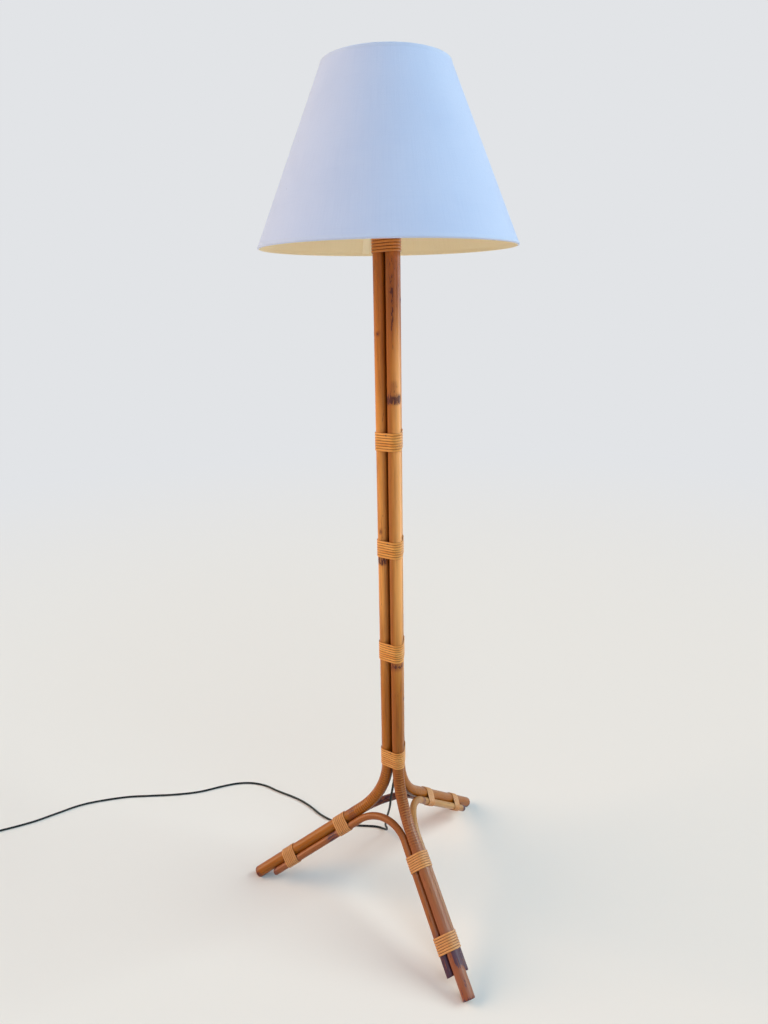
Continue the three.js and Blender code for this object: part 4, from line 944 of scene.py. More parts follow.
@dataclass
class Studio:
    """The camera at the photo's angle, a pale floor and soft lamps."""

    place: Vector = field(default_factory=lambda: Vector((-0.5510, -1.1404, 1.2747)))
    heading: float = math.radians(-24.180)
    tilt: float = math.radians(90 - 16.65)
    roll: float = math.radians(-0.936)
    lens: float = 25.07
    floor_reach: float = 60.0
    fade: tuple[float, float] = (1.3, 5.0)
    pale: Colour = written(226, 228, 231)
    ground: Colour = written(245, 230, 223)
    sky: Colour = written(192, 213, 238)
    sky_strength: float = 0.34

    def camera(self) -> None:
        """Sets the scene's camera."""
        data = bpy.data.cameras.new("camera")
        data.lens = self.lens
        data.sensor_width = 36
        data.clip_end = 200
        shown = bpy.data.objects.new("camera", data)
        turn = (
            Matrix.Rotation(self.heading, 4, "Z")
            @ Matrix.Rotation(self.tilt, 4, "X")
            @ Matrix.Rotation(self.roll, 4, "Z")
        )
        shown.matrix_world = Matrix.Translation(self.place) @ turn
        bpy.context.scene.collection.objects.link(shown)
        bpy.context.scene.camera = shown

    def floor(self) -> None:
        """Lays the pale floor, which isn't part of the lamp."""
        mesh = bmesh.new()
        bmesh.ops.create_circle(mesh, cap_ends=True, segments=96, radius=self.floor_reach)
        data = bpy.data.meshes.new("floor")
        mesh.to_mesh(data)
        mesh.free()
        paint = Surface("floor", Roughness=0.85, Specular_IOR_Level=0.0)
        paint.shader.inputs["Base Color"].default_value = (*self.ground, 1)
        reach = paint.node("ShaderNodeVectorMath", {"operation": "LENGTH"}, {0: paint.places()}, "Value")
        seen = self.backdrop_ray(paint.tree)
        far = paint.node("ShaderNodeEmission", {}, {"Color": (*self.pale, 1)})
        near = Field(paint.tree, paint.shader.outputs[0])
        both = paint.node("ShaderNodeMixShader", {}, {0: seen * reach.step(*self.fade), 1: near, 2: far})
        paint.tree.links.new(both.socket, paint.tree.nodes["Material Output"].inputs["Surface"])
        data.materials.append(paint.material)
        shown = bpy.data.objects.new("floor", data)
        bpy.context.scene.collection.objects.link(shown)

    def backdrop_ray(self, tree: bpy.types.NodeTree) -> Field:
        """Tells the rays that show the backdrop: the camera's, and those in metal and glass.

        Args:
            tree: The node tree that asks.

        Returns:
            A value of 1 for such a ray, else 0.
        """
        path = tree.nodes.new("ShaderNodeLightPath")
        seen = Field(tree, path.outputs["Is Camera Ray"])
        for kind in ("Is Glossy Ray", "Is Transmission Ray"):
            seen = seen.most(Field(tree, path.outputs[kind]))
        return seen

    def lamp(self, name: str, towards: Colour, strength: float, spread: float, tint: Colour) -> None:
        """Hangs one large soft lamp, far away.

        Args:
            name: The lamp's name.
            towards: The direction in which it hangs.
            strength: Its strength.
            spread: How wide it looks from the object, in degrees.
            tint: Its colour.
        """
        data = bpy.data.lights.new(name, "SUN")
        data.energy = strength
        data.angle = math.radians(spread)
        data.color = tint
        shown = bpy.data.objects.new(name, data)
        shown.matrix_world = Vector(towards).to_track_quat("Z", "Y").to_matrix().to_4x4()
        bpy.context.scene.collection.objects.link(shown)

    def panel(
        self, name: str, aside: float, away: float, size: tuple[float, float], watts: float, tint: Colour
    ) -> None:
        """Stands one tall soft panel on the floor, which shows only in shiny surfaces.

        Args:
            name: The panel's name.
            aside: Its direction, in degrees to the right of the camera's.
            away: Its distance from the column.
            size: Its width and height.
            watts: Its power.
            tint: Its colour.
        """
        data = bpy.data.lights.new(name, "AREA")
        data.shape = "RECTANGLE"
        data.size, data.size_y = size
        data.energy = watts
        data.color = tint
        shown = bpy.data.objects.new(name, data)
        turn = Matrix.Rotation(self.heading + math.radians(aside), 4, "Z")
        stand = Matrix.Translation((0, -away, size[1] / 2)) @ Matrix.Rotation(math.pi / 2, 4, "X")
        shown.matrix_world = turn @ stand
        shown.visible_camera = False
        shown.visible_diffuse = False
        bpy.context.scene.collection.objects.link(shown)

    def light(self) -> None:
        """Lights the lamp softly, with a pale world behind it."""
        self.lamp("front", (0.0, -0.963, 1.2), 0.8, 40, (0.46, 0.8, 1))
        self.lamp("right", (0.98, -0.42, 0.8), 1.9, 34, (0.77, 0.98, 0.98))
        self.lamp("left", (-1.0, 0.45, 0.6), 2.1, 44, (1, 0.77, 0.52))
        self.panel("front_panel", 48, 2.2, (0.8, 2.2), 14, (1, 0.9, 0.95))
        self.panel("right_panel", 108, 2.2, (1.0, 2.2), 24, (0.9, 0.94, 1))
        world = bpy.data.worlds.new("studio")
        world.use_nodes = True
        tree = world.node_tree
        around = tree.nodes["Background"]
        around.inputs["Color"].default_value = (*self.sky, 1)
        around.inputs["Strength"].default_value = self.sky_strength
        backdrop = tree.nodes.new("ShaderNodeBackground")
        backdrop.inputs["Color"].default_value = (*self.pale, 1)
        mix = tree.nodes.new("ShaderNodeMixShader")
        tree.links.new(self.backdrop_ray(tree).socket, mix.inputs[0])
        tree.links.new(around.outputs[0], mix.inputs[1])
        tree.links.new(backdrop.outputs[0], mix.inputs[2])
        tree.links.new(mix.outputs[0], tree.nodes["World Output"].inputs[0])
        bpy.context.scene.world = world
        bpy.context.scene.view_settings.view_transform = "Standard"

    def build(self) -> None:
        """Sets up the camera, the floor and the lamps."""
        self.camera()
        self.floor()
        self.light()


@dataclass
class Flex:
    """The free cord, its put-away coil, the tie and the plug."""

    plan: Plan
    shop: Workshop
    radius: float = 0.0025
    steps: int = 7
    coil_start: tuple[float, float] = (-0.925, 0.584)
    coil_mean: float = 0.0275
    coil_spacing: float = 0.0056
    layer_turns: float = 2.125
    tie_thickness: float = 0.0008
    tie_width: float = 0.008
    lead_length: float = 0.044
    lead_steps: int = 12
    plug_size: tuple[float, float, float] = (0.0353, 0.030, 0.0137)
    relief_length: float = 0.022
    relief_radius: float = 0.0046
    relief_ribs: int = 6
    pin_spacing: float = 0.0186
    pin_radius: float = 0.002
    pin_length: float = 0.019
    route: tuple[Point, ...] = (
        (0, 0, 0.3217), (0, 0, 0.298), (-0.001, 0.005, 0.272), (-0.002, 0.011, 0.246),
        (-0.002, 0.02, 0.216), (0.002, 0.034, 0.184), (0.008, 0.055, 0.152), (0.015, 0.078, 0.121),
        (0.022, 0.103, 0.084), (0.03, 0.124, 0.053), (0.04, 0.139, 0.03), (0.045, 0.153, 0.0125),
        (0.043, 0.169, 0.004), (0.033, 0.182, 0.0027), (0.015, 0.194, 0.0026), (-0.007, 0.206, 0.0026),
        (-0.041, 0.23, 0.0026), (-0.066, 0.258, 0.0026), (-0.082, 0.288, 0.0026),
        (-0.093, 0.321, 0.0026), (-0.106, 0.351, 0.0026), (-0.122, 0.378, 0.0026),
        (-0.155, 0.423, 0.0026), (-0.18, 0.46, 0.0026), (-0.21, 0.486, 0.0026),
        (-0.245, 0.501, 0.0026), (-0.283, 0.507, 0.0026), (-0.349, 0.512, 0.0026),
        (-0.413, 0.53, 0.0026), (-0.474, 0.554, 0.0026), (-0.537, 0.577, 0.0026),
        (-0.639, 0.594, 0.0026), (-0.699, 0.587, 0.0026), (-0.758, 0.579, 0.0026),
        (-0.834, 0.58, 0.0027), (-0.88, 0.5835, 0.0034), (-0.905, 0.584, 0.0039),
        (-0.9197, 0.584, 0.0039),
    )

    @property
    def coil_outer(self) -> float:
        """The radius of the coil's outer turn."""
        return self.coil_mean + self.coil_spacing * self.layer_turns / 2

    @property
    def coil_inner(self) -> float:
        """The radius of the coil's inner turn."""
        return self.coil_outer - self.coil_spacing * self.layer_turns

    @property
    def coil_height(self) -> float:
        """The height of the lower layer's axis."""
        return self.radius + self.tie_thickness + 2 * self.plan.gap

    @property
    def coil_centre(self) -> Vector:
        """The middle of the coil, from the column's foot."""
        return Vector((self.coil_start[0], self.coil_start[1] - self.coil_outer, 0))

    def eased(self) -> list[Vector]:
        """Points of one smooth curve through the route, in centripetal steps.

        Returns:
            The points, from the column's foot.
        """
        points = [Vector(point) for point in self.route]
        points = [2 * points[0] - points[1], *points, 2 * points[-1] - points[-2]]
        line = []
        for before, start, end, after in zip(points, points[1:], points[2:], points[3:]):
            knots = [0.0]
            for one, two in ((before, start), (start, end), (end, after)):
                knots.append(knots[-1] + math.sqrt((two - one).length))
            for step in range(self.steps):
                here = knots[1] + (knots[2] - knots[1]) * step / self.steps

                def between(one: Vector, two: Vector, low: float, high: float) -> Vector:
                    """A point between two others at this knot."""
                    return one.lerp(two, (here - low) / (high - low))

                first = between(before, start, knots[0], knots[1])
                second = between(start, end, knots[1], knots[2])
                third = between(end, after, knots[2], knots[3])
                left = between(first, second, knots[0], knots[2])
                right = between(second, third, knots[1], knots[3])
                line.append(between(left, right, knots[1], knots[2]))
        return line

    def wound(self) -> list[Vector]:
        """Points of the coil: in on the floor, up a layer, and out on top."""
        turns = 2 * self.layer_turns
        count = round(turns * 36)
        line = []
        for step in range(count + 1):
            middle = turns * step / count - self.layer_turns
            radius = self.coil_inner + self.coil_spacing * abs(middle)
            angle = math.pi / 2 + math.tau * turns * step / count
            height = self.coil_height + self.coil_spacing * smooth(-0.25, 0.25, middle)
            line.append(self.coil_centre + self.plan.radial(radius, angle, height))
        return line

    def exit(self) -> tuple[Vector, Vector]:
        """The end of the coil and its heading."""
        angle = math.pi / 2 + 2 * math.tau * self.layer_turns
        height = self.coil_height + self.coil_spacing
        heading = self.plan.radial(1, angle + math.pi / 2, 0)
        place = self.coil_centre + self.plan.radial(self.coil_outer, angle, height)
        return place + heading * self.radius * 2, heading

    def lead(self) -> list[Vector]:
        """Points of the cord from the coil down to the plug."""
        place, heading = self.exit()
        drop = place.z - self.plug_size[2] / 2
        line = []
        for step in range(self.lead_steps + 1):
            share = step / self.lead_steps
            point = place + heading * (self.plan.gap + self.lead_length * share)
            point.z -= drop * smooth(0, 1, share)
            line.append(point)
        return line

    def cord(self, with_pieces: list[Any]) -> None:
        """Args:
            with_pieces: The tie, the plug and its pins.
        """
        points = [self.plan.at(point) for point in self.eased() + self.wound() + self.lead()]
        data = bpy.data.curves.new("supply_flex", "CURVE")
        data.dimensions = "3D"
        data.bevel_depth = self.radius
        data.bevel_resolution = 3
        data.use_fill_caps = True
        data.resolution_u = 1
        spline = data.splines.new("POLY")
        spline.points.add(len(points) - 1)
        for made, point in zip(spline.points, points):
            made.co = (*point, 1)
        data.materials.append(self.shop.palette.flex)
        shown = bpy.data.objects.new("supply_flex", data)
        bpy.context.scene.collection.objects.link(shown)
        self.shop.register(shown, Body.STAND, "flex", ("supply_cord", "cord_coil", "plug_lead"))
        length = sum((two - one).length for one, two in zip(points, points[1:]))
        log.info("the free cord is %.3f m long", length)
        tuple(points[0])
        2 * self.radius
        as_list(with_pieces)

    def tie(self) -> bpy.types.Object:
        """Makes the band round the coil's turns."""
        low = self.coil_height - self.radius - self.plan.gap - self.tie_thickness
        high = self.coil_height + self.coil_spacing + self.radius + self.plan.gap + self.tie_thickness
        inner = self.coil_inner - self.radius - self.plan.gap - self.tie_thickness
        outer = self.coil_outer + self.radius + self.plan.gap + self.tie_thickness
        mesh = bmesh.new()
        box = bmesh.ops.create_cube(mesh, size=1)["verts"]
        bmesh.ops.scale(mesh, vec=(outer - inner, self.tie_width, high - low), verts=box)
        bmesh.ops.translate(mesh, vec=((outer + inner) / 2, 0, (high + low) / 2), verts=box)
        mesh.normal_update()
        bmesh.ops.delete(mesh, geom=[f for f in mesh.faces if abs(f.normal.y) > 0.5], context="FACES_ONLY")
        edges = [edge for edge in mesh.edges if not edge.is_boundary]
        bmesh.ops.bevel(
            mesh, geom=edges, offset=0.003, segments=5, profile=0.5, affect="EDGES", material=-1
        )
        bmesh.ops.recalc_face_normals(mesh, faces=mesh.faces)
        bmesh.ops.solidify(mesh, geom=mesh.faces[:], thickness=self.tie_thickness)
        bmesh.ops.translate(mesh, vec=self.plan.at(self.coil_centre), verts=mesh.verts)
        return self.shop.piece(
            "tie_band", mesh, [self.shop.palette.flex], Body.STAND, "flex", ("coil_tie",), bevel=0.0002
        )

    def behind_lead(self) -> Matrix:
        """Lays a piece that points along +Z on the floor behind the cord's lead."""
        place, heading = self.exit()
        start = place + heading * (self.lead_length + 2 * self.plan.gap)
        start.z = self.plug_size[2] / 2
        up = Vector((0, 0, 1))
        across = up.cross(heading)
        turn = Matrix([(*row,) for row in zip(across, up, heading)]).to_4x4()
        return Matrix.Translation(self.plan.at(start)) @ turn

    def plug(self) -> bpy.types.Object:
        """Makes the plug's flat body and its tapered, slotted strain relief."""
        width, length, thickness = self.plug_size
        mesh = bmesh.new()
        box = bmesh.ops.create_cube(mesh, size=1)["verts"]
        bmesh.ops.scale(mesh, vec=(width, thickness, length), verts=box)
        bmesh.ops.translate(mesh, vec=(0, 0, self.relief_length + length / 2), verts=box)
        long_edges = [e for e in mesh.edges if abs(e.verts[0].co.z - e.verts[1].co.z) > length / 2]
        bmesh.ops.subdivide_edges(mesh, edges=long_edges, cuts=3, use_grid_fill=True)
        for vert in mesh.verts:
            share = 1 - smooth(0, 0.5, (vert.co.z - self.relief_length) / length)
            vert.co.x *= 1 - 0.56 * share
            vert.co.y *= 1 - 0.12 * share
        mesh.normal_update()
        bmesh.ops.bevel(
            mesh, geom=[e for e in mesh.edges if e.calc_face_angle(0) > 0.5], offset=0.0026,
            segments=5, profile=0.5, affect="EDGES", material=-1,
        )
        grips: list[tuple[float, float]] = []
        for rib in range(self.relief_ribs):
            for share, reach in ((0.0, 0.0), (0.12, 1.0), (0.6, 1.0), (0.72, 0.0)):
                along = (rib + share) / self.relief_ribs
                wide = 0.0034 + 0.0012 * along + 0.0005 * (reach - 1)
                grips.append((wide, self.relief_length * along))
        low, high, wide = self.relief_length, self.relief_length + 0.004, self.relief_radius
        self.shop.turned(mesh, [(0, 0), *grips, (wide, low), (wide, high), (0, high)], 28)
        bmesh.ops.transform(mesh, matrix=self.behind_lead(), verts=mesh.verts)
        return self.shop.piece(
            "plug_shell", mesh, [self.shop.palette.flex], Body.STAND, "flex", ("plug_body",)
        )

    def pins(self) -> list[bpy.types.Object]:
        """Makes the two round pins with their insulating sleeves."""
        end = self.relief_length + self.plug_size[1]
        tip = end + self.pin_length
        sleeve = end + self.pin_length * 0.52
        made = []
        for name, side in (("left", -1), ("right", 1)):
            mesh = bmesh.new()
            slim = self.pin_radius * 0.93
            profile = [
                (0, end - 0.006), (self.pin_radius, end - 0.006), (self.pin_radius, sleeve), (slim, sleeve),
                (slim, tip - 0.0014), (slim * 0.8, tip - 0.0005), (slim * 0.4, tip - 0.0001), (0, tip),
            ]
            self.shop.turned(mesh, profile, 24)
            for face in mesh.faces:
                face.material_index = 1 if face.calc_center_median().z < sleeve else 0
            bmesh.ops.translate(mesh, vec=(side * self.pin_spacing / 2, 0, 0), verts=mesh.verts)
            bmesh.ops.transform(mesh, matrix=self.behind_lead(), verts=mesh.verts)
            finishes = [self.shop.palette.steel, self.shop.palette.bakelite]
            node = f"plug_pin_{name}"
            made.append(self.shop.piece(f"pin_{name}", mesh, finishes, Body.STAND, "steel", (node,)))
        return made

    def build(self) -> None:
        """Makes the cord with everything on it."""
        self.cord([self.tie(), self.plug(), *self.pins()])
        self.shop.dress("column_cord", self.shop.palette.flex)


@dataclass
class CaneStand:
    """The three continuous cane poles and the three bent brace rods."""

    plan: Plan
    shop: Workshop
    sides: int = 28
    step: float = 0.007
    end_round: float = 0.0016
    node_rise: float = 0.016
    node_groove: float = 0.010

    def marks(self, leg: str) -> list[Mark]:
        """The nodes, burns and scars of one pole.

        Args:
            leg: The pole's name.

        Returns:
            The stains, by distance from the pole's top.
        """
        top, plan = self.plan.pole_top, self.plan
        if leg == "front":
            return [
                Mark(top - 1.1005, 0.011, 0.86, 120, 3.2),
                Mark(top - 1.124, 0.012, 0.4, 115, 0.9),
                Mark(top - 1.267, 0.078, 0.58, 124, 0.4),
                Mark(top - 1.31, 0.085, 0.3, 100, 1.5),
                Mark(top - 0.563, 0.0095, 0.66, 115, 3.0),
                Mark(plan.leg_along(0.262), 0.024, 1.0, 64, 1.9),
                Mark(plan.leg_along(0.296), 0.026, 0.42, 96, 0.5),
                Mark(plan.leg_along(0.31), 0.02, 0.4, 150, 0.5),
                Mark(plan.leg_along(plan.foot_circle) + 0.003, 0.012, 0.7),
            ]
        if leg == "left":
            return [
                Mark(top - 1.215, 0.006, 0.75, 20, 0.5),
                Mark(top - 0.786, 0.011, 0.8, 35, 1.7),
                Mark(top - 0.845, 0.007, 0.6, 25, 0.5),
                Mark(plan.leg_along(0.093), 0.012, 0.45),
                Mark(plan.leg_along(plan.foot_circle) + 0.003, 0.014, 0.65),
            ]
        return [
            Mark(top - 1.27, 0.006, 0.6),
            Mark(top - 0.93, 0.010, 0.8, 60, 2.0),
            Mark(top - 0.47, 0.005, 0.6),
            Mark(plan.leg_along(plan.foot_circle) + 0.003, 0.012, 0.7),
        ]

    def round_section(self, radius: float) -> Callable[[Vector], Vector]:
        """A cane's section: a circle that is a little out of round."""

        def shaped(point: Vector) -> Vector:
            """One point of the section."""
            angle = math.atan2(point.y, point.x)
            return point * radius * (1 + 0.006 * math.cos(2 * angle + 0.7))

        return shaped

    def swell(self, along: float, nodes: Sequence[float]) -> float:
        """How much a cane swells at its nodes, with the groove below each."""
        size = 1.0
        for node in nodes:
            away = along - node
            size += self.node_rise * math.exp(-((away / 0.0035) ** 2))
            size -= self.node_groove * math.exp(-(((away - 0.006) / 0.002) ** 2))
        return size

    def pole_stations(self, azimuth: float, nodes: Sequence[float]) -> list[Station]:
        """The places down a pole's column, round its bend and out along its leg."""
        plan = self.plan
        sideways = plan.radial(1, azimuth + math.pi / 2, 0)
        runs: list[tuple[Vector, Vector, float]] = []
        straight = plan.pole_top - plan.bend_start_height
        count = round(straight / self.step)
        for i in range(count):
            along = straight * i / count
            runs.append((plan.radial(plan.pole_circle, azimuth, plan.pole_top - along),
                         plan.radial(1, azimuth, 0), along))
        bends = 30
        for i in range(bends):
            turn = plan.bend_turn * i / bends
            radius = plan.pole_circle + plan.bend_radius * (1 - math.cos(turn))
            height = plan.bend_start_height - plan.bend_radius * math.sin(turn)
            runs.append((plan.radial(radius, azimuth, height),
                         plan.radial(math.cos(turn), azimuth, math.sin(turn)),
                         straight + plan.bend_radius * turn))
        reach = (plan.foot_circle - plan.leg_start) / math.cos(plan.slope)
        count = round(reach / self.step)
        for i in range(count + 1):
            out = reach * i / count
            radius = plan.leg_start + out * math.cos(plan.slope)
            runs.append((plan.leg_point(azimuth, radius), -plan.under_leg(azimuth),
                         straight + plan.bend_radius * plan.bend_turn + out))
        return [
            Station(plan.at(centre), sideways, outward, along, self.swell(along, nodes))
            for centre, outward, along in runs
        ]

    def close_end(self, mesh: bmesh.types.BMesh) -> None:
        """Rounds the rims of a cane's sawn ends."""
        rims = [
            edge for edge in mesh.edges
            if len({face.material_index for face in edge.link_faces}) == 2
        ]
        bmesh.ops.bevel(
            mesh, geom=rims, offset=self.end_round, segments=3, profile=0.5, affect="EDGES", material=0
        )
        bmesh.ops.recalc_face_normals(mesh, faces=mesh.faces)

    def pole(self, leg: int) -> None:
        """Makes one pole, its foot filed flat on the floor.

        Args:
            leg: The leg's place in the plan.
        """
        plan, name = self.plan, self.plan.legs[leg]
        marks = self.marks(name)
        nodes = [mark.along for mark in marks if mark.reach < 0.02]
        bend_from = plan.pole_top - plan.bend_start_height + 0.01
        bend_to = bend_from + plan.bend_radius * plan.bend_turn + 0.03

        def ridged(along: float, angle: float) -> float:
            """The bend's rings, on its outer side."""
            inside = smooth(bend_from - 0.03, bend_from + 0.02, along)
            inside *= 1 - smooth(bend_to - 0.04, bend_to + 0.02, along)
            return inside * (0.55 + 0.45 * math.sin(angle))

        mesh = bmesh.new()
        stations = self.pole_stations(plan.azimuth(leg), nodes)
        self.shop.swept(mesh, stations, self.sides, self.round_section(plan.pole_radius), marks, ridged)
        self.close_end(mesh)
        cut = bmesh.ops.bisect_plane(
            mesh, geom=everything(mesh), plane_co=(0, 0, 0), plane_no=(0, 0, -1), clear_outer=True
        )["geom_cut"]
        rim = [item for item in cut if isinstance(item, bmesh.types.BMEdge)]
        for face in bmesh.ops.contextual_create(mesh, geom=rim)["faces"]:
            face.material_index = 1
        bmesh.ops.recalc_face_normals(mesh, faces=mesh.faces)
        palette = self.shop.palette
        finishes = [palette.front_cane if name == "front" else palette.cane, palette.cut]
        self.shop.piece(f"cane_pole_{name}", mesh, finishes, Body.STAND, "cane", (f"pole_{name}",))

    def brace_stations(self, azimuth: float) -> list[Station]:
        """The places along a brace: up under one leg, over, and down under the next."""
        plan = self.plan
        ends = []
        for side, leg in ((1, azimuth), (-1, azimuth + math.tau / len(plan.legs))):
            offset = plan.radial(1, leg + math.pi / 2, 0) * side * math.sin(plan.brace_angle)
            offset += plan.under_leg(leg) * math.cos(plan.brace_angle)
            end = plan.leg_point(leg, plan.brace_end) + offset * plan.brace_offset
            ends.append((end, -plan.down_leg(leg)))
        (first, up_first), (second, up_second) = ends
        run = (up_first + up_second).normalized()
        spread = (first - second).length / 2
        corner = first + up_first * (spread / math.sin(up_first.angle(run)))
        half = (math.pi - up_first.angle(-up_second)) / 2
        trim = plan.brace_corner * math.tan(half)
        centre = corner - run * (plan.brace_corner / math.cos(half))
        start, end = corner - up_first * trim, corner - up_second * trim
        square = (start - centre).cross(end - centre).normalized()
        stations: list[Station] = []
        rise = (start - first).length
        count = round(rise / self.step)
        outward = (start - centre).normalized()
        for i in range(count):
            out = rise * i / count
            stations.append(Station(plan.at(first + up_first * out), square, outward, out))
        turn = (start - centre).angle(end - centre)
        bends = 36
        for i in range(bends + 1):
            reach = Matrix.Rotation(turn * i / bends, 3, square) @ (start - centre)
            along = rise + plan.brace_corner * turn * i / bends
            stations.append(Station(plan.at(centre + reach), square, reach.normalized(), along))
        outward = (end - centre).normalized()
        for i in range(1, count + 1):
            out = rise * i / count
            along = rise + plan.brace_corner * turn + out
            stations.append(Station(plan.at(end - up_second * out), square, outward, along))
        return stations

    def brace(self, leg: int) -> None:
        """Makes one brace rod with its sawn ends.

        Args:
            leg: The first of the two legs that it joins.
        """
        plan = self.plan
        name = f"{plan.legs[leg]}_{plan.legs[(leg + 1) % len(plan.legs)]}"
        stations = self.brace_stations(plan.azimuth(leg))
        whole = stations[-1].along
        marks = {
            "front_right": [Mark(whole, 0.016, 0.9), Mark(0.0, 0.07, 0.8), Mark(whole * 0.62, 0.01, 0.5)],
            "right_left": [Mark(whole * 0.5, 0.12, 0.62), Mark(0.0, 0.016, 0.8), Mark(whole, 0.02, 0.5)],
            "left_front": [Mark(0.0, 0.014, 0.5), Mark(0.175, 0.02, 0.6), Mark(whole, 0.085, 0.85)],
        }[name]

        def ridged(along: float, angle: float) -> float:
            """Faint rings where the rod is bent."""
            return 0.2 * smooth(0.14, 0.2, along) * (1 - smooth(whole - 0.2, whole - 0.14, along))

        mesh = bmesh.new()
        self.shop.swept(mesh, stations, 24, self.round_section(plan.brace_radius), marks, ridged)
        self.close_end(mesh)
        palette = self.shop.palette
        finishes = [palette.pale_brace if name == "front_right" else palette.brace, palette.cut]
        self.shop.piece(f"brace_rod_{name}", mesh, finishes, Body.STAND, "brace_cane", (f"brace_{name}",))

    def build(self) -> None:
        """Makes the poles and the braces."""
        for leg in range(len(self.plan.legs)):
            self.pole(leg)
            self.brace(leg)


@dataclass(frozen=True)
class Arc:
    """An arc of a binding's loop, in the plane that it is wound in."""

    centre: tuple[float, float]
    radius: float
    start: float
    end: float


